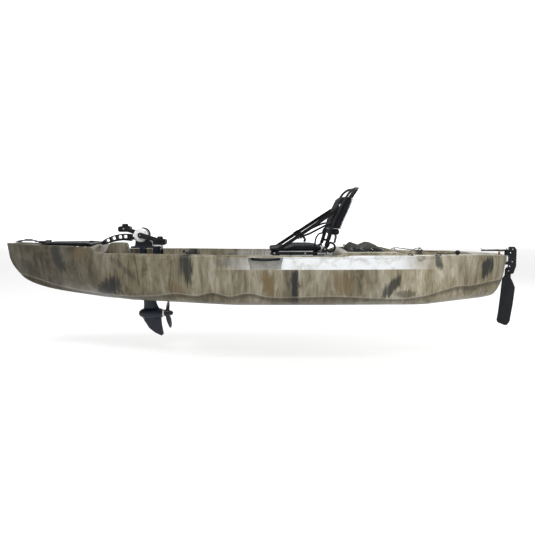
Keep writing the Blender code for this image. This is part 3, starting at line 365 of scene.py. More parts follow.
def makeGrainGroup():
    # fine moulded grain with a broad unevenness in gloss
    group, inside, outside = newGroup(
        "mouldedGrain", [("Vector", "NodeSocketVector", None), ("Grain Size", "NodeSocketFloat", 600.0),
                         ("Depth", "NodeSocketFloat", 0.3), ("Roughness", "NodeSocketFloat", 0.5)],
        [("Roughness", "NodeSocketFloat"), ("Normal", "NodeSocketVector"), ("Dust", "NodeSocketFloat")])
    fine = node(group, "ShaderNodeTexNoise", {"Vector": inside.outputs["Vector"],
                                              "Scale": inside.outputs["Grain Size"], "Detail": 3.0})
    broad = node(group, "ShaderNodeTexNoise", {"Vector": inside.outputs["Vector"], "Scale": 9.0,
                                               "Detail": 6.0, "Roughness": 0.65})
    bump = node(group, "ShaderNodeBump", {"Strength": inside.outputs["Depth"], "Distance": 0.0004,
                                          "Height": fine.outputs["Fac"]})
    shift = maths(group, "MULTIPLY_ADD", broad.outputs["Fac"], 0.22)
    shift.node.inputs[2].default_value = -0.11
    rough = maths(group, "ADD", shift, inside.outputs["Roughness"], clamp=True)
    dust = ramp(group, broad.outputs["Fac"], [(0.45, (0, 0, 0)), (0.8, (1, 1, 1))])
    group.links.new(rough, outside.inputs["Roughness"])
    group.links.new(bump.outputs["Normal"], outside.inputs["Normal"])
    group.links.new(dust, outside.inputs["Dust"])
    return group


def makeWeaveGroup():
    # two crossing sets of threads, from object coordinates
    group, inside, outside = newGroup(
        "wovenThreads", [("Vector", "NodeSocketVector", None), ("Threads", "NodeSocketFloat", 500.0),
                         ("Depth", "NodeSocketFloat", 0.6)],
        [("Height", "NodeSocketFloat"), ("Normal", "NodeSocketVector"), ("Wear", "NodeSocketFloat")])
    split = node(group, "ShaderNodeSeparateXYZ", {0: inside.outputs["Vector"]})
    waves = []
    for first, second in (("X", "Z"), ("Y", "Z")):
        both = maths(group, "ADD", split.outputs[first], split.outputs[second])
        waves.append(maths(group, "SINE", maths(group, "MULTIPLY", both, inside.outputs["Threads"])))
    both = maths(group, "SUBTRACT", split.outputs["X"], split.outputs["Z"])
    waves.append(maths(group, "SINE", maths(group, "MULTIPLY", both, inside.outputs["Threads"])))
    height = maths(group, "MULTIPLY", waves[0], waves[2])
    height = maths(group, "ADD", height, maths(group, "MULTIPLY", waves[1], 0.5))
    bump = node(group, "ShaderNodeBump", {"Strength": inside.outputs["Depth"], "Distance": 0.0006,
                                          "Height": height})
    broad = node(group, "ShaderNodeTexNoise", {"Vector": inside.outputs["Vector"], "Scale": 14.0,
                                               "Detail": 5.0})
    group.links.new(height, outside.inputs["Height"])
    group.links.new(bump.outputs["Normal"], outside.inputs["Normal"])
    group.links.new(broad.outputs["Fac"], outside.inputs["Wear"])
    return group


grainGroup = makeGrainGroup()
weaveGroup = makeWeaveGroup()


def startMaterial(name):
    material = bpy.data.materials.new(name)
    material.use_nodes = True
    tree = material.node_tree
    shader = tree.nodes["Principled BSDF"]
    place = node(tree, "ShaderNodeTexCoord").outputs["Object"]
    return material, tree, shader, place


def mouldedMaterial(name, colour, roughness=0.5, dusty=None, depth=0.25, grain=600.0, metallic=0.0,
                    coat=0.0, specular=0.5):
    # plain moulded, cast or drawn finish with grain and a little dust
    material, tree, shader, place = startMaterial(name)
    grainNode = node(tree, "ShaderNodeGroup", node_tree=grainGroup)
    tree.links.new(place, grainNode.inputs["Vector"])
    grainNode.inputs["Grain Size"].default_value = grain
    grainNode.inputs["Depth"].default_value = depth
    grainNode.inputs["Roughness"].default_value = roughness
    lighter = tuple(min(1.0, c * 1.4 + 0.006) for c in colour) if dusty is None else dusty
    share = maths(tree, "MULTIPLY", grainNode.outputs["Dust"], 0.55)
    tree.links.new(mixColour(tree, share, colour, lighter), shader.inputs["Base Color"])
    tree.links.new(grainNode.outputs["Roughness"], shader.inputs["Roughness"])
    tree.links.new(grainNode.outputs["Normal"], shader.inputs["Normal"])
    shader.inputs["Metallic"].default_value = metallic
    shader.inputs["Coat Weight"].default_value = coat
    shader.inputs["Specular IOR Level"].default_value = specular
    return material


def wovenMaterial(name, colour, lighter, threads=500.0, depth=0.6, sheen=0.08):
    material, tree, shader, place = startMaterial(name)
    weaveNode = node(tree, "ShaderNodeGroup", node_tree=weaveGroup)
    tree.links.new(place, weaveNode.inputs["Vector"])
    weaveNode.inputs["Threads"].default_value = threads
    weaveNode.inputs["Depth"].default_value = depth
    share = maths(tree, "MULTIPLY_ADD", weaveNode.outputs["Height"], 0.25)
    share.node.inputs[2].default_value = 0.3
    share = maths(tree, "MULTIPLY", share, weaveNode.outputs["Wear"], clamp=True)
    tree.links.new(mixColour(tree, share, colour, lighter), shader.inputs["Base Color"])
    tree.links.new(weaveNode.outputs["Normal"], shader.inputs["Normal"])
    shader.inputs["Roughness"].default_value = 0.85
    shader.inputs["Specular IOR Level"].default_value = 0.10
    shader.inputs["Sheen Weight"].default_value = sheen
    return material


blackPlastic = mouldedMaterial("blackPlastic", (0.009, 0.010, 0.012), 0.42, specular=0.14)
softBlack = mouldedMaterial("softBlackRubber", (0.008, 0.008, 0.009), 0.72, depth=0.5, grain=900,
                            specular=0.10)
whitePlastic = mouldedMaterial("whitePlastic", (0.78, 0.78, 0.76), 0.35, dusty=(0.66, 0.66, 0.63),
                               depth=0.1)
navyCasting = mouldedMaterial("navyCasting", (0.007, 0.011, 0.020), 0.36, depth=0.35, grain=380,
                              coat=0.08, specular=0.3)
brightSteel = mouldedMaterial("brightSteel", (0.62, 0.62, 0.61), 0.24, dusty=(0.45, 0.44, 0.42),
                              depth=0.1, metallic=1.0)
greyAluminium = mouldedMaterial("greyAluminium", (0.42, 0.43, 0.45), 0.36, dusty=(0.3, 0.3, 0.3),
                                depth=0.12, metallic=1.0)
blackTube = mouldedMaterial("blackTube", (0.010, 0.010, 0.011), 0.34, depth=0.1, coat=0.05,
                            specular=0.2)
seatFabric = wovenMaterial("seatFabric", (0.008, 0.009, 0.011), (0.026, 0.028, 0.033), 2200.0, 0.35,
                           0.02)
oliveWebbing = wovenMaterial("oliveWebbing", (0.055, 0.052, 0.038), (0.13, 0.12, 0.09), 1500.0,
                             0.5)
blackWebbing = wovenMaterial("blackWebbing", (0.007, 0.007, 0.008), (0.022, 0.022, 0.025), 2600.0,
                             0.35, 0.02)
print("kayak: common finishes made")

# ---- hull ----

hullLines = {
    "keel": [(-1.972, 0.440), (-1.960, 0.372), (-1.936, 0.316), (-1.888, 0.252), (-1.840, 0.204),
             (-1.744, 0.156), (-1.600, 0.116), (-1.360, 0.076), (-1.104, 0.044), (-0.656, 0.026),
             (-0.300, 0.008), (-0.100, 0.0), (1.200, 0.0), (1.456, 0.010), (1.700, 0.034),
             (1.909, 0.068), (1.940, 0.105), (1.965, 0.170), (1.975, 0.260)],
    "sheer": [(-1.972, 0.485), (-1.700, 0.476), (-1.240, 0.466), (-1.185, 0.424), (-0.600, 0.420),
              (0.0, 0.412), (0.620, 0.410), (0.700, 0.434), (1.060, 0.434), (1.180, 0.410),
              (1.700, 0.406), (1.975, 0.396)],
    "beam": [(-1.972, 0.016), (-1.940, 0.046), (-1.850, 0.095), (-1.700, 0.155), (-1.500, 0.220),
             (-1.250, 0.285), (-1.000, 0.335), (-0.700, 0.378), (-0.400, 0.405), (0.0, 0.420),
             (0.500, 0.420), (0.850, 0.408), (1.200, 0.375), (1.500, 0.322), (1.750, 0.255),
             (1.900, 0.200), (1.975, 0.135)],
    "crown": [(-1.972, 0.001), (-1.850, 0.010), (-1.300, 0.012), (-1.185, 0.004), (1.150, 0.004),
              (1.800, 0.008), (1.975, 0.002)],
    # crease between the topsides and the bilge, scalloped along the boat
    "crease": [(-1.880, 0.235), (-1.600, 0.158), (-1.310, 0.104), (-0.950, 0.092), (-0.740, 0.100),
               (-0.585, 0.121), (-0.430, 0.106), (-0.307, 0.130), (-0.172, 0.103), (-0.029, 0.127),
               (0.104, 0.097), (0.300, 0.094), (0.600, 0.102), (1.050, 0.080), (1.200, 0.086),
               (1.356, 0.116), (1.557, 0.166), (1.653, 0.168), (1.800, 0.189), (1.975, 0.210)],
}
sections = {
    "bow": [(0, 0), (0.10, 0), (0.30, 0.14), (0.47, 0.28), (0.62, 0.42), (0.75, 0.56),
            (0.86, 0.70), (0.94, 0.82), (1.0, 0.92), (1.0, 0.965), (0.95, 1.0)],
    "middle": [(0, 0), (0.075, 0), (0.40, 0.022), (0.66, 0.07), (0.84, 0.16), (0.93, 0.30),
               (0.965, 0.50), (0.985, 0.72), (1.0, 0.90), (1.0, 0.965), (0.965, 1.0)],
}
hullShape = {"sideSteps": 96, "step": 0.0138, "wallRun": 0.006, "rim": 0.060, "ledgeZ": 0.330,
             "floorZ": 0.100, "seatFloorZ": 0.240, "tankFloorZ": 0.285, "panelDepth": 0.005,
             "creaseDepth": 0.016, "lipDrop": 0.004}


def keelZ(x):
    return lineThrough(hullLines["keel"], x)


def sheerZ(x):
    return lineThrough(hullLines["sheer"], x)


def halfBeam(x):
    return lineThrough(hullLines["beam"], x)


def deckZ(x, y=0.0):
    inner = halfBeam(x) * 0.8
    return sheerZ(x) + lineThrough(hullLines["crown"], x) * max(0.0, 1 - abs(y) / inner)


def within(value, low, high, run):
    return smooth(value, low - run, low + run) * (1 - smooth(value, high - run, high + run))


def deckSurface(x, y, edge, share):
    # height of the moulded deck; edge is the distance in from the side, share the scaled half width
    s = hullShape
    run = s["wallRun"]
    height = deckZ(x, y)
    height -= s["lipDrop"] * within(edge, 0.016, 0.046, 0.005) * within(x, -1.10, 1.62, 0.03)

    def sink(floor, mask):
        return height + (min(height, floor) - height) * mask

    height = sink(s["ledgeZ"], within(x, -1.150, 0.660, run) * smooth(edge, 0.054, 0.066))
    height = sink(s["floorZ"], within(x, -0.760, -0.100, run) * (1 - smooth(share, 0.274, 0.286)))
    height = sink(s["floorZ"], within(x, -1.090, -0.740, run) * within(abs(y), 0.094, 0.199, run))
    height = sink(s["seatFloorZ"], within(x, -0.110, 0.620, run) * (1 - smooth(share, 0.194, 0.206)))
    height = sink(s["tankFloorZ"], within(x, 0.720, 1.690, run) * smooth(edge, 0.104, 0.116))
    # ribs moulded across the tank well and the foot floor
    if 1.03 < x < 1.66 and share < 0.20:
        height += 0.006 * (0.5 - 0.5 * cos(tau * x / 0.105)) * smooth(edge, 0.13, 0.16)
    if -0.56 < x < -0.14 and share < 0.24:
        height += 0.005 * smooth(cos(tau * x / 0.07), 0.2, 0.8) * (1 - smooth(share, 0.20, 0.24))
    # console hump ahead of the drive
    hump = within(x, -1.163, -0.997, 0.020) * (1 - smooth(share, 0.052, 0.066))
    top = 0.4905 - 0.9 * (x + 1.08) ** 2
    return height + (max(height, top) - height) * hump


def sideOffset(x, z):
    # moulded relief on the topsides, inwards
    s = hullShape
    front = -0.459 + (0.415 - z) * 1.10
    panel = smooth(x, front - 0.006, front + 0.006) * (1 - smooth(x, 1.405, 1.440))
    panel *= smooth(z, 0.302, 0.312) * (1 - smooth(z, 0.388, 0.398))
    crease = lineThrough(hullLines["crease"], x)
    under = (1 - smooth(z, crease - 0.004, crease + 0.002)) * smooth(z, crease - 0.085, crease - 0.012)
    under *= smooth(x, -1.90, -1.80) * (1 - smooth(x, 1.90, 1.955))
    flute = 0.0022 * within(z, 0.150, 0.285, 0.02) * smooth(cos(tau * (x - 0.1) / 0.62), 0.55, 0.95)
    flute *= within(x, -1.0, 1.45, 0.1)
    bow = 0.004 * within(z, 0.348, 0.402, 0.008) * within(x, -1.40, -1.225, 0.012)
    below = sheerZ(x) - z
    line = 0.003 * within(below, 0.017, 0.022, 0.003) * smooth(x, -1.90, -1.80) * (1 - smooth(x, 1.80, 1.90))
    return s["panelDepth"] * panel + s["creaseDepth"] * under + flute + bow + line


def sectionSide(x):
    # half section from keel to rim, relief included
    beam, keel, top = halfBeam(x), keelZ(x), sheerZ(x)
    bowShare = min(1.0, max(0.0, (-0.95 - x) / 0.75))
    sternShare = 0.45 * min(1.0, max(0.0, (x - 1.35) / 0.5))
    share = max(bowShare, sternShare)
    corners = []
    for (u0, v0), (u1, v1) in zip(sections["middle"], sections["bow"]):
        corners.append(Vector((x, (u0 + (u1 - u0) * share) * beam,
                               keel + (v0 + (v1 - v0) * share) * (top - keel))))
    points = curveThrough(corners, hullShape["sideSteps"])
    for p in points:
        p.y -= min(sideOffset(x, p.z), max(0.0, p.y - 0.01))
        p.y = max(p.y, 0.0)
        p.z = max(p.z, keel)
    points[0].y = 0.0
    return points


def deckColumns(x):
    # from the rim to the middle: (y, distance from the side, scaled half width)
    beam = halfBeam(x)
    squeeze = min(1.0, beam / 0.30)
    columns = []
    rimEdges = (0.022, 0.030, 0.040, 0.046, 0.051, 0.054, 0.058, 0.062, 0.066, 0.072, 0.085,
                0.100, 0.104, 0.110, 0.116, 0.122)
    for d in rimEdges:
        columns.append((beam - d * squeeze, d))
    scale = max(0.0, (beam - 0.135 * squeeze)) / 0.285
    shares = (0.2855, 0.280, 0.274, 0.262, 0.245, 0.225, 0.211, 0.206, 0.200, 0.194, 0.180, 0.165, 0.150,
              0.135, 0.120, 0.105, 0.100, 0.094, 0.088, 0.082, 0.074, 0.066, 0.060, 0.054, 0.048,
              0.034, 0.017, 0.0)
    for w in shares:
        columns.append((w * scale, None))
    return [(y, beam - y, (y / scale if scale > 0 else 0.0)) for y, d in columns]


def stationList():
    walls = (-1.163, -1.150, -1.090, -0.997, -0.760, -0.740, -0.110, -0.100, 0.620, 0.660, 0.720, 1.690)
    fine = set()
    for wall in walls:
        for k in (-2, -1, 0, 1, 2):
            fine.add(round(wall + k * 0.004, 4))
    xs = sorted(fine)
    x = -1.972
    while x < 1.975:
        if all(abs(x - f) > 0.004 for f in fine):
            xs.append(round(x, 4))
        close = x < -1.86 or x > 1.90 or -1.25 < x < -1.17
        x += 0.004 if close else hullShape["step"]
    xs.append(1.975)
    return sorted(set(xs))


def hullSkinBm():
    rings = []
    for x in stationList():
        side = sectionSide(x)
        deck = []
        for y, edge, share in deckColumns(x):
            deck.append(Vector((x, y, deckSurface(x, y, edge, share))))
        half = side + deck
        mirrored = [Vector((p.x, -p.y, p.z)) for p in reversed(half[1:-1])]
        rings.append(half + mirrored)
    return loftBm(rings)


def hullCuts():
    # openings that go through or across the skin
    cuts = bmesh.new()
    slot = [(-0.955, -0.065), (-0.762, -0.065), (-0.762, -0.150), (-0.610, -0.150), (-0.610, 0.150),
            (-0.762, 0.150), (-0.762, 0.065), (-0.955, 0.065)]
    joinBm(cuts, prismBm(slot, -0.1, 0.345))
    joinBm(cuts, prismBm([(-1.651, -0.116), (-1.259, -0.190), (-1.259, 0.190), (-1.651, 0.116)],
                         0.4682, 0.52, flare=0.004))
    for sign in (-1, 1):
        outline = [(-0.030, 0.396), (0.215, 0.396), (0.200, 0.312), (-0.012, 0.312)]
        inner, outer = sign * 0.368, sign * 0.45
        joinBm(cuts, prismBm(outline, inner, outer, "XZ", flare=0.016))
        notch = [(1.214, 0.6), (1.290, 0.6), (1.286, 0.385), (1.268, 0.364), (1.240, 0.364),
                 (1.220, 0.385)]
        joinBm(cuts, prismBm(notch, sign * 0.324, sign * 0.5, "XZ"))
        joinBm(cuts, boxBm((-1.376, sign * 0.222 - 0.021, 0.452), (-1.262, sign * 0.222 + 0.021, 0.6)))
        for x, y in ((-0.200, 0.230), (1.300, 0.150)):
            joinBm(cuts, rodBm((x, sign * y, -0.1), (x, sign * y, 0.5), 0.017, 20))
    bmesh.ops.recalc_face_normals(cuts, faces=cuts.faces)
    return cuts


hullPaint = {
    # tone from bow to stern: (x, grey gain); the dark bow is partly the powder's own tone and partly painted
    # shade where the bow side faces away from the light
    "tones": ((-1.972, 0.40), (-1.35, 0.46), (-1.00, 0.82), (-0.40, 1.02), (0.30, 1.05), (0.95, 1.18),
              (1.25, 1.60), (1.55, 1.42), (1.975, 1.12)),
    # streaks of other powder: x, z, half width, half height, slant, strength, colour
    "streaks": (
        (-1.50, 0.38, 0.045, 0.12, 0.12, 0.80, "charcoal"),
        (-1.33, 0.42, 0.05, 0.05, 0.0, 0.55, "umber"),
        (-1.11, 0.16, 0.08, 0.08, -0.5, 0.90, "charcoal"),
        (-0.97, 0.30, 0.03, 0.10, 0.9, 0.45, "charcoal"),
        (-0.50, 0.33, 0.055, 0.13, 0.15, 0.92, "charcoal"),
        (-0.58, 0.15, 0.06, 0.07, 0.4, 0.40, "umber"),
        (0.13, 0.20, 0.050, 0.12, 0.1, 0.85, "umber"),
        (0.305, 0.20, 0.052, 0.17, -0.1, 0.98, "charcoal"),
        (0.67, 0.20, 0.060, 0.11, 0.2, 0.60, "umber"),
        (1.04, 0.16, 0.050, 0.09, -0.5, 0.85, "charcoal"),
        (1.16, 0.12, 0.070, 0.03, 0.0, 0.55, "charcoal"),
        (1.41, 0.36, 0.035, 0.07, 0.2, 0.85, "charcoal"),
        (1.50, 0.21, 0.050, 0.06, 0.3, 0.35, "umber"),
        (1.79, 0.31, 0.055, 0.09, -0.3, 0.95, "charcoal"),
        (-1.78, 0.30, 0.07, 0.07, 0.6, 0.35, "charcoal"),
        (-0.20, 0.36, 0.10, 0.03, 0.0, 0.30, "charcoal"),
    ),
    "charcoal": (0.017, 0.018, 0.018), "umber": (0.120, 0.080, 0.036), "worn": (0.69, 0.71, 0.725),
}


def makeHullMaterial():
    material, tree, shader, place = startMaterial("marbledHull")
    split = node(tree, "ShaderNodeSeparateXYZ", {0: place})
    x, y, z = split.outputs

    def noiseMap(scale, stretch, detail=4.0, rough=0.55, distort=0.0, lean=0.0):
        mapped = node(tree, "ShaderNodeMapping", {"Vector": place, "Scale": stretch,
                                                  "Rotation": (0, radians(lean), 0)})
        return node(tree, "ShaderNodeTexNoise", {"Vector": mapped.outputs[0], "Scale": scale,
                                                 "Detail": detail, "Roughness": rough,
                                                 "Distortion": distort}).outputs["Fac"]

    def between(value, low, high):
        made = node(tree, "ShaderNodeMapRange", {"Value": value, 1: low, 2: high, 3: 0.0, 4: 1.0},
                    interpolation_type="SMOOTHSTEP", clamp=True)
        return made.outputs[0]

    def times(first, second):
        return maths(tree, "MULTIPLY", first, second)

    def plus(first, second):
        return maths(tree, "ADD", first, second)

    def centred(value, gain):
        return times(maths(tree, "SUBTRACT", value, 0.5), gain)

    broad = noiseMap(1.0, (4.2, 2.6, 1.6), 5.0, 0.60, 0.9, 14)
    streaks = noiseMap(1.0, (17.0, 9.0, 3.2), 6.0, 0.66, 1.3, 20)
    brushed = noiseMap(1.0, (60.0, 22.0, 7.0), 5.0, 0.70, 0.8, 24)
    value = plus(plus(times(broad, 0.46), times(streaks, 0.38)), times(brushed, 0.16))
    colour = ramp(tree, value, [(0.36, (0.040, 0.038, 0.029)), (0.43, (0.095, 0.080, 0.050)),
                                (0.485, (0.150, 0.130, 0.085)), (0.53, (0.190, 0.170, 0.122)),
                                (0.58, (0.245, 0.225, 0.172)), (0.66, (0.330, 0.312, 0.258))])
    # darker towards the bow and paler aft: partly the powder's own tone, partly painted shade on the bow side
    span = node(tree, "ShaderNodeMapRange", {"Value": x, 1: -1.972, 2: 1.975}, clamp=True).outputs[0]
    stops = [((at + 1.972) / 3.947, (gain / 2,) * 3) for at, gain in hullPaint["tones"]]
    gain = times(ramp(tree, span, stops), 2.0)
    tone = node(tree, "ShaderNodeCombineColor", {0: gain, 1: gain, 2: gain}).outputs[0]
    colour = mixColour(tree, 1.0, colour, tone, "MULTIPLY")

    # ragged streaks of charcoal and brown
    warpedX = plus(plus(x, centred(broad, 0.16)), centred(brushed, 0.05))
    for atX, atZ, wide, tall, slant, strength, tint in hullPaint["streaks"]:
        offset = maths(tree, "SUBTRACT", z, atZ)
        across = times(maths(tree, "SUBTRACT", plus(warpedX, times(offset, slant)), atX), 1 / wide)
        along = times(offset, 1 / tall)
        away = plus(plus(times(across, across), times(along, along)), centred(streaks, 3.4))
        mask = times(maths(tree, "SUBTRACT", 1.0, between(away, 0.2, 1.5)), strength)
        colour = mixColour(tree, mask, colour, hullPaint[tint])

    # worn pale band in the side panel
    fade = plus(times(between(x, -0.34, 0.10), 0.42), times(between(x, 0.17, 0.25), 0.58))
    fade = times(fade, maths(tree, "SUBTRACT", 1.0, between(plus(x, centred(streaks, 0.35)), 1.00, 1.42)))
    height = times(between(z, 0.3065, 0.3115),
                   maths(tree, "SUBTRACT", 1.0,
                         between(maths(tree, "SUBTRACT", z, times(between(x, 0.64, 0.74), 0.012)),
                                 0.398, 0.405)))
    outer = between(maths(tree, "ABSOLUTE", y), 0.28, 0.31)
    patchy = between(noiseMap(1.0, (9.0, 6.0, 14.0), 6.0, 0.72, 0.6), 0.34, 0.56)
    band = times(times(times(fade, height), outer), plus(times(patchy, 0.38), 0.62))
    colour = mixColour(tree, band, colour, hullPaint["worn"])

    # painted shadow as a thin dark band under the scalloped crease, and a thin lighter line just above it
    stops = [((at + 1.972) / 3.947, (height * 4,) * 3) for at, height in hullLines["crease"]]
    creaseZ = times(ramp(tree, span, stops, "CARDINAL"), 0.25)
    below = maths(tree, "SUBTRACT", creaseZ, z)
    shade = times(between(below, -0.004, 0.003), maths(tree, "SUBTRACT", 1.0, between(below, 0.012, 0.050)))
    colour = mixColour(tree, times(shade, 0.60), colour, (0.040, 0.035, 0.022))
    # a thin lighter line just above the crease
    paleAboveCrease = times(between(below, -0.016, -0.006), maths(tree, "SUBTRACT", 1.0, between(below, -0.005, 0.0)))
    colour = mixColour(tree, times(paleAboveCrease, 0.22), colour, (0.42, 0.39, 0.31))

    # painted shade darkening the hull towards the bottom, and light scuffs low down
    low = maths(tree, "SUBTRACT", 1.0, between(z, -0.01, 0.105))
    colour = mixColour(tree, times(low, 0.72), colour, (0.044, 0.040, 0.034))
    scuff = between(noiseMap(60.0, (0.5, 1.0, 2.5), 4.0, 0.7), 0.60, 0.72)
    colour = mixColour(tree, times(times(scuff, maths(tree, "SUBTRACT", 1.0, between(z, 0.02, 0.12))), 0.4),
                       colour, (0.30, 0.29, 0.26))

    grainNode = node(tree, "ShaderNodeGroup", node_tree=grainGroup)
    tree.links.new(place, grainNode.inputs["Vector"])
    grainNode.inputs["Grain Size"].default_value = 420.0
    grainNode.inputs["Depth"].default_value = 0.2
    grainNode.inputs["Roughness"].default_value = 0.40
    tree.links.new(colour, shader.inputs["Base Color"])
    tree.links.new(grainNode.outputs["Roughness"], shader.inputs["Roughness"])
    tree.links.new(grainNode.outputs["Normal"], shader.inputs["Normal"])
    shader.inputs["Specular IOR Level"].default_value = 0.18
    return material


def applyModifiers(piece):
    # bake the modifier stack into the mesh
    bpy.context.view_layer.update()
    mesh = bpy.data.meshes.new_from_object(piece.evaluated_get(bpy.context.evaluated_depsgraph_get()))
    piece.modifiers.clear()
    old = piece.data
    piece.data = mesh
    bpy.data.meshes.remove(old)
    return piece


hullMaterial = makeHullMaterial()


def makeHull():
    skin = addPiece("hull_skin", hullSkinBm(), hullMaterial, "hull", 0, ["hull"])
    tool = addPiece("hullTool", hullCuts(), hullMaterial, None, smoothAngle=0)
    cut = skin.modifiers.new("openings", "BOOLEAN")
    cut.operation = "DIFFERENCE"
    cut.solver = "EXACT"
    cut.object = tool
    applyModifiers(skin)
    bpy.data.objects.remove(tool, do_unlink=True)
    skin.data.shade_smooth()
    skin.data.set_sharp_from_angle(angle=radians(38))
    print("kayak: hull skin,", len(skin.data.polygons), "faces")
    return skin


makeHull()

# ---- carried-over nodes: give every one its finish ----

cadFinish = {
    "blackPlastic": (blackPlastic, ["hatch_lid", "hatch_hinge", "gear_track_port", "gear_track_starboard",
                                    "steering_base", "steering_lever", "lift_handle", "pedal_port",
                                    "pedal_starboard", "rudder_head", "rudder_yoke", "rudder_blade",
                                    "bearing_cover_starboard", "drain_plug", "seat_clamp_port",
                                    "seat_clamp_starboard", "grip_port", "grip_starboard", "keeper_ball"]),
    "softBlack": (softBlack, ["bow_handle", "hatch_seal"]),
    "white": (whitePlastic, ["bearing_cover_port", "shaft_seal"]),
    "navy": (navyCasting, ["head_case", "drive_plate", "drive_column", "foil_strut", "gearcase_pod",
                           "propeller", "propeller_nut"]),
    "steel": (brightSteel, ["crank_shaft", "pedal_axle_port", "pedal_axle_starboard", "drive_shaft",
                            "propeller_shaft", "crank_gear", "crank_pinion", "lower_gear",
                            "propeller_gear", "rudder_pintle", "blade_pin", "seat_hinge_rod",
                            "crank_bearing_port", "crank_bearing_starboard", "prop_bearing"]),
    "aluminium": (greyAluminium, ["seat_rail_port", "seat_rail_starboard", "rudder_bracket"]),
    "tube": (blackTube, ["seat_frame", "back_frame", "crank_arm_port", "crank_arm_starboard"]),
}


def dressCadNodes():
    for material, names in cadFinish.values():
        for name in names:
            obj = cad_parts[name]
            obj.data.materials.clear()
            obj.data.materials.append(material)
            smoothed = obj.modifiers.new("easedEdges", "BEVEL")
            smoothed.width = 0.0008
            smoothed.segments = 2
            smoothed.limit_method = "ANGLE"
            smoothed.angle_limit = radians(35)


dressCadNodes()

# ---- bolts and small metal ----

bolt = {"headRadius": 0.0062, "headHeight": 0.0042, "socket": 0.0028}


def boltBm(place, axis, scale=1.0):
    r, h, s = (bolt[k] * scale for k in ("headRadius", "headHeight", "socket"))
    profile = [(0, h * 0.45), (s, h * 0.45), (s, h * 0.96), (r * 0.55, h), (r * 0.86, h * 0.82),
               (r, h * 0.45), (r, 0), (r * 1.35, 0), (r * 1.35, -h * 0.3), (0, -h * 0.3)]
    return turnedBm(profile, place, axis, 20)


def addBolts(name, body, places, axis, scale=1.0, material=None):
    bm = bmesh.new()
    for place in places:
        joinBm(bm, boltBm(place, axis, scale))
    return addPiece(name, bm, material or brightSteel, body)


def makeBolts():
    for label, sign in (("port", -1), ("starboard", 1)):
        z = 0.4662
        addBolts("track_bolts_" + label, "hull", [(-1.348, sign * 0.222, z), (-1.290, sign * 0.222, z)],
                 (0, 0, 1), 1.1)
        addBolts("rail_bolts_" + label, "hull",
                 [(x, sign * 0.2585, 0.3445) for x in (-0.06, 0.045, 0.345, 0.622)], (0, 0, 1), 0.6)
        addBolts("frame_bolts_" + label, "seat_base",
                 [(x, sign * 0.2622, 0.419) for x in (0.160, 0.395, 0.500)], (0, sign, 0), 0.85)
    addBolts("bow_handle_bolts", "hull", [(-1.888, 0, 0.5005), (-1.728, 0, 0.5005)], (0, 0, 1), 0.9)
    addBolts("plate_bolts", "drive", [(x, y, 0.4627) for x in (-0.962, -0.748) for y in (-0.052, 0.052)],
             (0, 0, 1), 0.85)
    addBolts("rudder_bolts", "rudder", [(2.048, -0.0272, 0.408), (2.044, -0.0272, 0.300)],
             (0, -1, 0), 0.7)


makeBolts()

# ---- foredeck ----

hatch = {"front": -1.640, "back": -1.270, "frontHalf": 0.106, "backHalf": 0.176, "top": 0.4908}


def hatchHalf(x):
    share = (x - hatch["front"]) / (hatch["back"] - hatch["front"])
    return hatch["frontHalf"] + (hatch["backHalf"] - hatch["frontHalf"]) * share


def makeForedeck():
    # raised bead round the lid and two long ribs
    top = hatch["top"]
    x0, x1 = hatch["front"] + 0.012, hatch["back"] - 0.012
    corners = []
    for x, sign in ((x0, -1), (x1, -1), (x1, 1), (x0, 1)):
        corners.append((x, sign * (hatchHalf(x) - 0.014)))
    route = []
    for i, corner in enumerate(corners):
        before, after = Vector(corners[i - 1]), Vector(corners[(i + 1) % 4])
        here = Vector(corner)
        start = here + (before - here).normalized() * 0.025
        end = here + (after - here).normalized() * 0.025
        for k in range(7):
            t = k / 6
            p = start * (1 - t) ** 2 + here * 2 * t * (1 - t) + end * t * t
            route.append((p.x, p.y, top + 0.0006))
        for k in range(1, 8):
            nextStart = after + (here - after).normalized() * 0.025
            p = end.lerp(nextStart, k / 8)
            route.append((p.x, p.y, top + 0.0006))
    bead = tubeBm(route, 0.0032, 8, closed=True)
    for sign in (-1, 1):
        joinBm(bead, tubeBm([(x, sign * (hatchHalf(x) - 0.060), top + 0.0004)
                             for x in (x0 + 0.03, x0 + 0.13, x1 - 0.13, x1 - 0.03)], 0.0036, 8))
    addPiece("hatch_bead", bead, blackPlastic, "hatch", 60)

    # turn latch at the after edge of the lid
    latch = turnedBm([(0, 0.0), (0.019, 0.0), (0.019, 0.003), (0.016, 0.005), (0, 0.005)],
                     (-1.300, 0, top), (0, 0, 1), 28)
    joinBm(latch, boxBm((-1.318, -0.0045, top + 0.004), (-1.282, 0.0045, top + 0.013), 0.002))
    addPiece("hatch_latch", latch, softBlack, "hatch")

    # finger rolls moulded along the bow handle
    grip = bmesh.new()
    for k in range(5):
        joinBm(grip, tubeBm([(-1.828 + 0.012 * k, y, 0.5115 + (0.0035 if abs(y) < 0.02 else -0.003))
                             for y in (-0.0232, -0.020, -0.008, 0.008, 0.020, 0.0232)], 0.0022, 8))
    addPiece("bow_handle_rolls", grip, softBlack, "hull")


makeForedeck()
print("kayak: foredeck made")

# ---- pedals and drive ----

pedal = {"port": (-0.729176, 0.504324, "pedal_port"), "starboard": (-1.060824, 0.595676, "pedal_starboard"),
         "low": 0.0945, "high": 0.183, "strapWidth": 0.034}


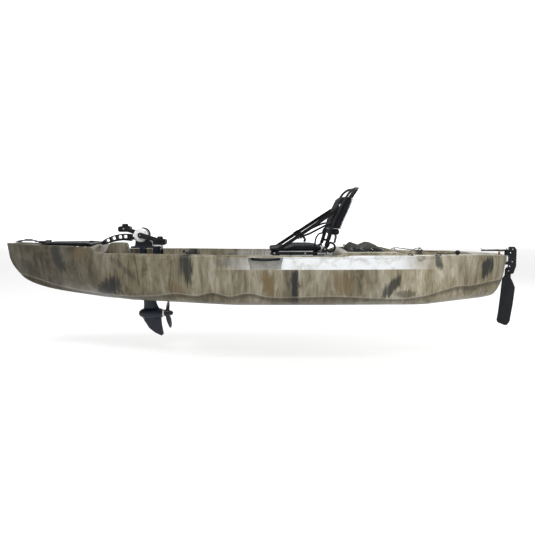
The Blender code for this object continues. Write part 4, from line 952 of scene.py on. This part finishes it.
def makeDriveDetails():
    for label, sign in (("port", -1), ("starboard", 1)):
        x, z, body = pedal[label]
        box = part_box("pedal_" + label)
        low, high = box
        midX, halfX = (low[0] + high[0]) / 2, (high[0] - low[0]) / 2
        midZ, halfZ = (low[2] + high[2]) / 2, (high[2] - low[2]) / 2
        midY, halfY = (low[1] + high[1]) / 2, (high[1] - low[1]) / 2
        # toe strap arched over the tread, with a stitched buckle on its outer side
        strap = []
        for k in range(25):
            a = pi * k / 24
            strap.append((midX, midY - cos(a) * (halfY + 0.002), midZ + halfZ * 0.2
                          + sin(a) ** 0.7 * (halfZ * 0.8 + 0.020)))
        band = bandBm(strap, pedal["strapWidth"], 0.003, (1, 0, 0))
        addPiece("pedal_strap_" + label, band, blackWebbing, body, 60)
        outer = midY + sign * (halfY + 0.004)
        buckle = boxBm((midX - 0.020, outer - 0.003, midZ + halfZ * 0.2 + 0.006),
                       (midX + 0.020, outer + 0.003, midZ + halfZ * 0.2 + 0.021), 0.0016)
        addPiece("pedal_buckle_" + label, buckle, blackPlastic, body)
        # grip studs standing on the tread and an end cap on the axle
        studs = bmesh.new()
        for i in (-2, -1, 1, 2):
            for j in (-1, 1):
                place = (midX + j * halfX * 0.62, midY + i * halfY * 0.36, midZ + halfZ - 0.0006)
                joinBm(studs, turnedBm([(0, 0), (0.0032, 0), (0.0026, 0.0022), (0, 0.0024)], place,
                                       (0, 0, 1), 12))
        addPiece("pedal_studs_" + label, studs, softBlack, body)
        cap = turnedBm([(0, 0), (0.011, 0), (0.011, 0.0025), (0.008, 0.0055), (0, 0.006)],
                       (x, sign * (abs(high[1] if sign > 0 else low[1]) - 0.0003), z), (0, sign, 0), 24)
        addPiece("pedal_cap_" + label, cap, blackPlastic, body)
        # crank bolt and the screws of the bearing cover
        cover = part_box("bearing_cover_" + label)
        face = abs(cover[1][1] if sign > 0 else cover[0][1])
        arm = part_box("crank_arm_" + label)
        armFace = abs(arm[1][1] if sign > 0 else arm[0][1])
        crankBolt = boltBm((-0.895, sign * (armFace + 0.0012), 0.550), (0, sign, 0), 1.7)
        addPiece("crank_bolt_" + label, crankBolt, blackPlastic, "crank")
        places = [(-0.895 + 0.047 * cos(a), sign * (face + 0.0004), 0.550 + 0.047 * sin(a))
                  for a in (0.6, 2.2, 3.8, 5.4)]
        addBolts("cover_screws_" + label, "drive", places, (0, sign, 0), 0.55)
    # moulded ribs on the gear case sides
    ribs = bmesh.new()
    for k in range(3):
        z = 0.472 + 0.010 * k
        for sign in (-1, 1):
            joinBm(ribs, boxBm((-0.925 + 0.004 * k, sign * 0.0265 - 0.0022, z),
                               (-0.858 - 0.003 * k, sign * 0.0265 + 0.0022, z + 0.0035), 0.001, 1))
    addPiece("case_ribs", ribs, navyCasting, "drive")


makeDriveDetails()
print("kayak: drive details made")

# ---- seat ----

cushion = {"rings": 60, "sides": 80}


def groove(value, places, wide):
    return max((2.718 ** (-((value - p) / wide) ** 2) for p in places), default=0.0)


def makeSeatPad():
    # quilted seat cushion with raised bolsters and a bound edge
    x0, x1, halfWide, base = 0.126, 0.516, 0.232, 0.4307
    rings = []
    for i in range(cushion["rings"]):
        t = i / (cushion["rings"] - 1)
        t = 0.5 - 0.5 * cos(pi * t)
        x = x0 + (x1 - x0) * t
        thick = 0.031 + 0.024 * smooth(x, 0.250, 0.325)
        end = max(0.0, 1 - abs(2 * t - 1) ** 9) ** 0.42
        ring = []
        for k in range(cushion["sides"]):
            a = tau * k / cushion["sides"]
            u, v = cos(a), sin(a)
            wide = squared(u, 0.45)
            tall = squared(v, 0.62)
            y = wide * halfWide * (0.955 + 0.045 * end)
            lift = 0.0
            if v > 0:
                bolster = smooth(abs(y), 0.150, 0.205) * (1 - smooth(t, 0.82, 1.0))
                lift = 0.006 * bolster - 0.003 * (1 - smooth(abs(y), 0.10, 0.17)) \
                    - 0.0055 * groove(abs(y), (0.148,), 0.006) * v \
                    - 0.0045 * groove(x, (0.205, 0.300, 0.395), 0.006) * (abs(y) < 0.148) * v
                fold = noise.noise(Vector((x * 16, y * 10, 4.0)))
                lift += 0.0022 * fold * v
            middle = base + thick * 0.44
            z = middle + tall * (thick * 0.44) * (0.30 + 0.70 * end) + lift * end
            ring.append(Vector((x, y, max(z, base))))
        rings.append(ring)
    softPiece("seat_cushion", loftBm(rings), seatFabric, "seat_base",
              replaces=["seat_pad"], subdivide=True)

    # bound edge along the cushion's waist
    edge = []
    for k in range(72):
        a = tau * k / 72
        u, v = cos(a), sin(a)
        x = (x0 + x1) / 2 + squared(u, 0.30) * ((x1 - x0) / 2 + 0.0005)
        y = squared(v, 0.30) * (halfWide + 0.0008)
        edge.append((x, y, base + 0.0205))
    softPiece("seat_cushion_binding", tubeBm(edge, 0.0032, 8, closed=True), blackWebbing, "seat_base")


def backPair(t):
    # front and rear line of the back cushion, from bottom to top
    front = curveThrough([(0.583, 0, 0.600), (0.602, 0, 0.690), (0.635, 0, 0.765), (0.676, 0, 0.852)], 41)
    rear = curveThrough([(0.671, 0, 0.596), (0.692, 0, 0.655), (0.734, 0, 0.748), (0.773, 0, 0.846)], 41)
    place = t * 40
    i = min(39, int(place))
    return front[i].lerp(front[i + 1], place - i), rear[i].lerp(rear[i + 1], place - i)


def makeBackPad():
    rings = []
    count = cushion["rings"]
    for i in range(count):
        t = 0.5 - 0.5 * cos(pi * i / (count - 1))
        front, rear = backPair(t)
        end = max(0.0, 1 - abs(2 * t - 1) ** 14) ** 0.45
        middle = (front + rear) / 2
        depth = (rear - front) / 2
        halfWide = 0.1985 * (0.965 + 0.035 * end)
        ring = []
        for k in range(cushion["sides"]):
            a = tau * k / cushion["sides"]
            u, v = cos(a), sin(a)
            wide = squared(u, 0.42)
            deep = squared(v, 0.50)
            y = wide * halfWide
            push = 1.0
            if v < 0:
                quilt = max(groove(t, (0.22, 0.42, 0.62, 0.82), 0.022) * (abs(y) < 0.135),
                            groove(abs(y), (0.138,), 0.007))
                push = 1.0 - 0.22 * quilt * abs(v)
                push += 0.05 * noise.noise(Vector((y * 12, t * 7, 1.0)))
            ring.append(Vector((middle.x, y, middle.z)) + depth * deep * push * (0.35 + 0.65 * end))
        rings.append(ring)
    softPiece("back_cushion", loftBm(rings), seatFabric, "seat_back",
              replaces=["back_pad"], subdivide=True)

    # lumbar roll below it, with a pale piped seam
    rings = []
    for i in range(41):
        t = 0.5 - 0.5 * cos(pi * i / 40)
        y = -0.1955 + 0.391 * t
        end = max(0.0, 1 - abs(2 * t - 1) ** 8) ** 0.45
        ring = []
        for k in range(40):
            a = tau * k / 40
            wide = squared(cos(a), 0.6)
            tall = squared(sin(a), 0.6)
            wrinkle = 0.0015 * noise.noise(Vector((y * 25, a * 1.5, 2.0)))
            ring.append(Vector((0.6265 + wide * 0.040 * (0.4 + 0.6 * end) + wrinkle, y,
                                0.5785 + tall * 0.0225 * (0.4 + 0.6 * end) - wrinkle)))
        rings.append(ring)
    softPiece("lumbar_roll", loftBm(rings), seatFabric, "seat_back", subdivide=True)

    piping = bmesh.new()
    for sign in (-1, 1):
        line = [(0.588, sign * 0.2000, 0.6075), (0.625, sign * 0.2005, 0.606), (0.670, sign * 0.2000, 0.604)]
        joinBm(piping, tubeBm(curveThrough(line, 14), 0.0026, 8))
    joinBm(piping, tubeBm(curveThrough([(0.588, -0.2005, 0.604), (0.5835, -0.185, 0.604),
                                        (0.5815, 0, 0.604), (0.5835, 0.185, 0.604),
                                        (0.588, 0.2005, 0.604)], 30), 0.0026, 8))
    softPiece("back_piping", piping, paleThread, "seat_back")

    # seams up the side gussets and eyelets near the top
    gusset = bmesh.new()
    eyelets = bmesh.new()
    for sign in (-1, 1):
        for share in (0.06, 0.94):
            line = []
            for k in range(20):
                front, rear = backPair(0.03 + 0.94 * k / 19)
                p = front.lerp(rear, share)
                line.append((p.x, sign * 0.1965, p.z))
            joinBm(gusset, tubeBm(line, 0.0022, 6))
        joinBm(eyelets, turnedBm([(0.0045, 0), (0.0100, 0), (0.0100, 0.0016), (0.0045, 0.0024)],
                                 (0.665, sign * 0.1985, 0.785), (0, sign, 0), 24))
    softPiece("back_seams", gusset, blackWebbing, "seat_back")
    addPiece("back_eyelets", eyelets, whitePlastic, "seat_back")


def strapLine(points, width):
    # band whose flat face looks sideways
    route = curveThrough(points, 40)
    across = []
    for i in range(len(route)):
        ahead = (route[min(i + 1, 39)] - route[max(i - 1, 0)]).normalized()
        across.append(ahead.cross(Vector((0, 1, 0))))
    return bandBm(route, width, 0.0026, across)


def addStrap(name, bm, material=None, smoothAngle=50, replaces=()):
    # a strap running from the seat frame to the back, added with no body of its own
    piece = addPiece(name, bm, material or blackWebbing, None, smoothAngle, replaces)
    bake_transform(piece)


def makeStraps():
    for label, sign in (("port", -1), ("starboard", 1)):
        main = strapLine([(0.178, sign * 0.2665, 0.441), (0.285, sign * 0.2620, 0.512),
                          (0.395, sign * 0.2500, 0.586), (0.500, sign * 0.2320, 0.656),
                          (0.570, sign * 0.2100, 0.703), (0.640, sign * 0.2012, 0.748)], 0.027)
        addStrap("support_web_" + label, main, replaces=["support_strap_" + label])
        lower = strapLine([(0.372, sign * 0.2560, 0.550), (0.428, sign * 0.2470, 0.570),
                           (0.500, sign * 0.2300, 0.606), (0.562, sign * 0.2080, 0.634),
                           (0.604, sign * 0.2008, 0.641)], 0.015)
        addStrap("lower_web_" + label, lower)
        # ladder buckle and its short tail
        buckle = bmesh.new()
        turn = Matrix.Translation((0.352, sign * 0.2580, 0.555)) @ Matrix.Rotation(-radians(32), 4, "Y")
        for x0, x1, z0, z1 in ((-0.024, 0.024, 0.013, 0.019), (-0.024, 0.024, -0.019, -0.013),
                               (-0.024, -0.018, -0.019, 0.019), (0.018, 0.024, -0.019, 0.019),
                               (-0.004, 0.003, -0.019, 0.019)):
            bar = boxBm((x0, -0.004, z0), (x1, 0.004, z1), 0.0012, 1)
            bmesh.ops.transform(bar, matrix=turn, verts=bar.verts)
            joinBm(buckle, bar)
        addStrap("web_buckle_" + label, buckle, blackPlastic, 40)
        tail = strapLine([(0.372, sign * 0.2595, 0.556), (0.385, sign * 0.2640, 0.540),
                          (0.392, sign * 0.2650, 0.525), (0.386, sign * 0.2655, 0.508)], 0.018)
        addStrap("web_tail_" + label, tail)
        # loop of webbing behind the hinge, and the bright end of the frame
        ring = tubeBm([(0.589 + 0.034 * cos(a), sign * 0.236, 0.466 + 0.034 * sin(a))
                       for a in [tau * k / 36 for k in range(36)]], 0.0085, 12, closed=True)
        joinBm(ring, boxBm((0.548, sign * 0.236 - 0.006, 0.444), (0.560, sign * 0.236 + 0.006, 0.464), 0.002))
        addPiece("carry_ring_" + label, ring, softBlack, "seat_base", 60)
        plate = boxBm((0.488, sign * 0.2635 - 0.0015, 0.4105), (0.552, sign * 0.2635 + 0.0015, 0.4245), 0.001)
        addPiece("frame_end_" + label, plate, brightSteel, "seat_base")
        # olive webbing from the lumbar roll towards the ring
        olive = strapLine([(0.628, sign * 0.188, 0.562), (0.634, sign * 0.192, 0.545),
                           (0.628, sign * 0.200, 0.520), (0.622, sign * 0.212, 0.498)], 0.018)
        addPiece("olive_web_" + label, olive, oliveWebbing, "seat_back", 50)
        # padded sleeve round the foot of the side tube
        sleeve = bandBm(curveThrough([(0.557, sign * 0.212, 0.474), (0.566, sign * 0.212, 0.500),
                                      (0.584, sign * 0.212, 0.560), (0.600, sign * 0.212, 0.610)], 24),
                        0.028, 0.022, (1, 0, 0))
        softPiece("side_sleeve_" + label, bevelSharp(sleeve, 0.004, 2, 40), seatFabric, "seat_back",
                  60)
    # thin pull cord that hangs in a step from the port corner of the back
    thin = curveThrough([(0.584, -0.2035, 0.640), (0.560, -0.2180, 0.620), (0.536, -0.2300, 0.602),
                         (0.526, -0.2330, 0.576), (0.500, -0.2350, 0.567), (0.478, -0.2370, 0.534),
                         (0.470, -0.2385, 0.490), (0.466, -0.2400, 0.452), (0.462, -0.2420, 0.434)], 44)
    piece = addPiece("pull_tape", strapLine(thin, 0.012), blackWebbing, None, 50)
    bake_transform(piece)
    # webbing handle looped over the top bar
    handle = bandBm(curveThrough([(0.738, 0, 0.856), (0.764, 0, 0.884), (0.790, 0, 0.907),
                                  (0.806, 0, 0.9300), (0.820, 0, 0.9260), (0.823, 0, 0.912),
                                  (0.806, 0, 0.894), (0.780, 0, 0.868), (0.760, 0, 0.850)], 48),
                    0.060, 0.0024, (0, 1, 0))
    addPiece("top_loop", handle, blackWebbing, "seat_back", 50)
    # fabric panel that laces the back to the top bar
    panel = bandBm(curveThrough([(0.766, 0, 0.843), (0.781, 0, 0.868), (0.798, 0, 0.892),
                                 (0.812, 0, 0.9165)], 20), 0.230, 0.013, (0, 1, 0))
    softPiece("top_panel", bevelSharp(panel, 0.003, 2, 40), seatFabric, "seat_back", 60)


paleThread = wovenMaterial("paleThread", (0.32, 0.33, 0.35), (0.55, 0.56, 0.58), 1800.0, 0.4)
makeSeatPad()
makeBackPad()
makeStraps()
print("kayak: seat made")

# ---- bundled mesh cover ----

cover = {"x0": 0.733, "x1": 1.003, "halfWide": 0.255, "base": 0.300,
         "eyelets": (0.752, 0.826, 0.904, 0.982)}


def makeMeshMaterial():
    material, tree, shader, place = startMaterial("speckledMesh")
    cells = node(tree, "ShaderNodeTexVoronoi", {"Vector": place, "Scale": 240.0}, feature="F1")
    holes = ramp(tree, cells.outputs["Distance"], [(0.25, (1, 1, 1)), (0.42, (0, 0, 0))])
    speckle = node(tree, "ShaderNodeTexNoise", {"Vector": place, "Scale": 170.0, "Detail": 2.0})
    flecks = ramp(tree, speckle.outputs["Fac"], [(0.50, (0, 0, 0)), (0.62, (1, 1, 1))])
    broad = node(tree, "ShaderNodeTexNoise", {"Vector": place, "Scale": 12.0, "Detail": 5.0})
    colour = mixColour(tree, broad.outputs["Fac"], (0.022, 0.022, 0.021), (0.055, 0.055, 0.050))
    colour = mixColour(tree, maths(tree, "MULTIPLY", flecks, 0.55), colour, (0.15, 0.15, 0.14))
    colour = mixColour(tree, maths(tree, "MULTIPLY", holes, 0.55), colour, (0.008, 0.008, 0.008))
    bump = node(tree, "ShaderNodeBump", {"Strength": 0.7, "Distance": 0.0012,
                                         "Height": maths(tree, "SUBTRACT", flecks, holes)})
    tree.links.new(colour, shader.inputs["Base Color"])
    tree.links.new(bump.outputs["Normal"], shader.inputs["Normal"])
    shader.inputs["Roughness"].default_value = 0.9
    shader.inputs["Specular IOR Level"].default_value = 0.12
    return material


def coverTop(x, y):
    humps = 0.466 + 0.022 * groove(x, (0.790,), 0.036) + 0.024 * groove(x, (0.915,), 0.046)
    humps -= 0.004 * groove(x, (0.848,), 0.014)
    crumple = 0.006 * noise.noise(Vector((x * 22, y * 9, 0.5)))
    crumple += 0.003 * noise.noise(Vector((x * 60, y * 38, 3.0)))
    fold = 0.004 * abs(sin(y * 34 + 2.5 * noise.noise(Vector((x * 14, y * 5, 7.0)))))
    return humps + crumple - fold


def makeCover():
    x0, x1, half, base = cover["x0"], cover["x1"], cover["halfWide"], cover["base"]
    rings = []
    for i in range(60):
        t = 0.5 - 0.5 * cos(pi * i / 59)
        x = x0 + (x1 - x0) * t
        end = max(0.0, 1 - abs(2 * t - 1) ** 7) ** 0.45
        ring = []
        for k in range(120):
            a = tau * k / 120
            u, v = cos(a), sin(a)
            wide = squared(u, 0.35)
            tall = squared(v, 0.45)
            y = wide * half * (0.90 + 0.10 * end)
            top = coverTop(x, y)
            middle = (top + base) / 2
            bulge = 0.006 * noise.noise(Vector((x * 30, y * 11, tall * 4)))
            z = middle + tall * (top - base) / 2 * (0.25 + 0.75 * end)
            ring.append(Vector((x, y * (1 + bulge), z)))
        rings.append(ring)
    softPiece("mesh_bundle", loftBm(rings), meshFabric, "hull",
              replaces=["cargo_cover"], subdivide=True)

    # eyelets along both sides and the lacing between them
    rings = bmesh.new()
    laces = bmesh.new()
    for sign in (-1, 1):
        route = []
        for k, x in enumerate(cover["eyelets"]):
            z = 0.4530
            joinBm(rings, turnedBm([(0.0048, -0.001), (0.0092, -0.001), (0.0098, 0.0016),
                                    (0.0072, 0.0034), (0.0048, 0.0020)], (x, sign * 0.2580, z),
                                   (0, sign, 0.25), 24))
            route += [(x - 0.006, sign * 0.2620, z - 0.004), (x, sign * 0.2560, z),
                      (x + 0.006, sign * 0.2620, z + 0.004)]
            if k < 3:
                route.append((x + 0.038, sign * 0.2605, z - 0.007 + 0.004 * (k % 2)))
        joinBm(laces, tubeBm(curveThrough(route, 90), 0.0026, 8))
    addPiece("bundle_eyelets", rings, brightSteel, "hull")
    addPiece("bundle_lacing", laces, blackWebbing, "hull", 0)


meshFabric = makeMeshMaterial()
makeCover()
print("kayak: bundled cover made")

# ---- shock cord, keeper and rudder links ----

def makeCordMaterial():
    material, tree, shader, place = startMaterial("braidedCord")
    wave = node(tree, "ShaderNodeTexWave", {"Vector": place, "Scale": 210.0, "Distortion": 0.4},
                wave_type="BANDS", bands_direction="DIAGONAL")
    flecks = ramp(tree, wave.outputs["Fac"], [(0.86, (0, 0, 0)), (0.96, (1, 1, 1))])
    colour = mixColour(tree, maths(tree, "MULTIPLY", flecks, 0.35), (0.014, 0.014, 0.015), (0.10, 0.10, 0.10))
    bump = node(tree, "ShaderNodeBump", {"Strength": 0.5, "Distance": 0.0005, "Height": wave.outputs["Fac"]})
    tree.links.new(colour, shader.inputs["Base Color"])
    tree.links.new(bump.outputs["Normal"], shader.inputs["Normal"])
    shader.inputs["Roughness"].default_value = 0.7
    shader.inputs["Specular IOR Level"].default_value = 0.15
    return material


braidedCord = makeCordMaterial()
for cordNode in ("shock_cord_port", "shock_cord_starboard"):
    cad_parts[cordNode].data.materials.clear()
    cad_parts[cordNode].data.materials.append(braidedCord)


def makeRigging():
    # pad eyes under the ends of the shock cord
    for x in (1.18, 1.40):
        for sign, label in ((-1, "port"), (1, "starboard")):
            y = sign * (halfBeam(x) - 0.050)
            z = deckZ(x, y) - 0.0015
            arch = [(x - 0.020, y, z + 0.001), (x - 0.015, y, z + 0.004), (x - 0.009, y, z + 0.013),
                    (x, y, z + 0.0165), (x + 0.009, y, z + 0.013), (x + 0.015, y, z + 0.004),
                    (x + 0.020, y, z + 0.001)]
            eye = tubeBm(curveThrough(arch, 25), 0.0035, 10)
            joinBm(eye, boxBm((x - 0.027, y - 0.0075, z), (x + 0.027, y + 0.0075, z + 0.0035), 0.0012))
            name = "pad_eye_%s_%d" % (label, round(x * 100))
            addPiece(name, eye, blackPlastic, "hull", 50)
            addBolts(name + "_bolts", "hull", [(x - 0.022, y, z + 0.0042), (x + 0.022, y, z + 0.0042)],
                     (0, 0, 1), 0.5)
    # keeper cord between the after pad eye and the ball
    y = -(halfBeam(1.40) - 0.050)
    z = deckZ(1.40, y)
    keeper = tubeBm(curveThrough([(1.400, y, z + 0.012), (1.425, y + 0.004, z + 0.013),
                                  (1.455, y + 0.012, z + 0.0065), (1.490, -0.268, z + 0.010),
                                  (1.520, -0.265, z + 0.014), (1.537, -0.262, z + 0.017)], 40), 0.0026, 8)
    joinBm(keeper, tubeBm([(1.479 + 0.017 * cos(a), -0.270 + 0.010 * sin(a), z + 0.009)
                           for a in [tau * k / 24 for k in range(24)]], 0.0024, 8, closed=True))
    addPiece("keeper_cord", keeper, braidedCord, "hull", 0)


def makeRudderLinks():
    # two flat links from the yoke, with a copper swivel below the port one
    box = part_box("rudder_yoke")
    z = box[1][2] + 0.0008
    plates = bmesh.new()
    for sign in (-1, 1):
        outline = []
        for k in range(28):
            a = tau * k / 28
            outline.append((1.842 + 0.010 * cos(a), sign * 0.060 + 0.010 * sin(a)))
        joinBm(plates, prismBm(outline, z, z + 0.003, bevel=0.0006, segments=1))
        joinBm(plates, boltBm((1.842, sign * 0.060, z + 0.003), (0, 0, 1), 0.8))
    joinBm(plates, boltBm((2.024, 0, z + 0.0005), (0, 0, 1), 1.0))
    addPiece("yoke_washers", plates, brightSteel, "rudder")
    swivel = turnedBm([(0, 0), (0.007, 0), (0.0085, 0.004), (0.0085, 0.020), (0.006, 0.024), (0, 0.025)],
                      (1.950, -0.045, sheerZ(1.95) - 0.001), (0, 0, 1), 24)
    addPiece("line_guide", swivel, copperRed, "hull")


copperRed = mouldedMaterial("copperRed", (0.26, 0.085, 0.045), 0.45, depth=0.2)
makeRigging()
makeRudderLinks()
print("kayak: rigging made")

# ---- cockpit fittings ----

def makeCockpitDetails():
    # half-round ribs moulded on the inner walls beside the seat
    for label, sign in (("port", -1), ("starboard", 1)):
        ribs = bmesh.new()
        for k in range(5):
            x = -0.040 + 0.030 * k
            y = sign * (halfBeam(x) - 0.0605)
            joinBm(ribs, rodBm((x, y, 0.332), (x, y, 0.404), 0.0055, 12, 0.003))
        addPiece("wall_ribs_" + label, ribs, hullMaterial, "hull")
    # foot mat let into the floor of each foot space
    for label, sign in (("port", -1), ("starboard", 1)):
        mat = boxBm((-0.560, sign * 0.175 - 0.080, 0.1055), (-0.150, sign * 0.175 + 0.080, 0.1085), 0.0012)
        addPiece("foot_mat_" + label, mat, softBlack, "hull")
    # ring of small bolts on the steering base
    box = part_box("steering_base")
    x, y = (box[0][0] + box[1][0]) / 2, (box[0][1] + box[1][1]) / 2
    outX, outY = 0.6 * (box[1][0] - x), 0.6 * (box[1][1] - y)
    places = [(x + outX * cos(a), y + outY * sin(a), box[0][2] + 0.004) for a in (0.8, 2.4, 3.9, 5.5)]
    addBolts("steering_bolts", "hull", places, (0, 0, 1), 0.4)


makeCockpitDetails()
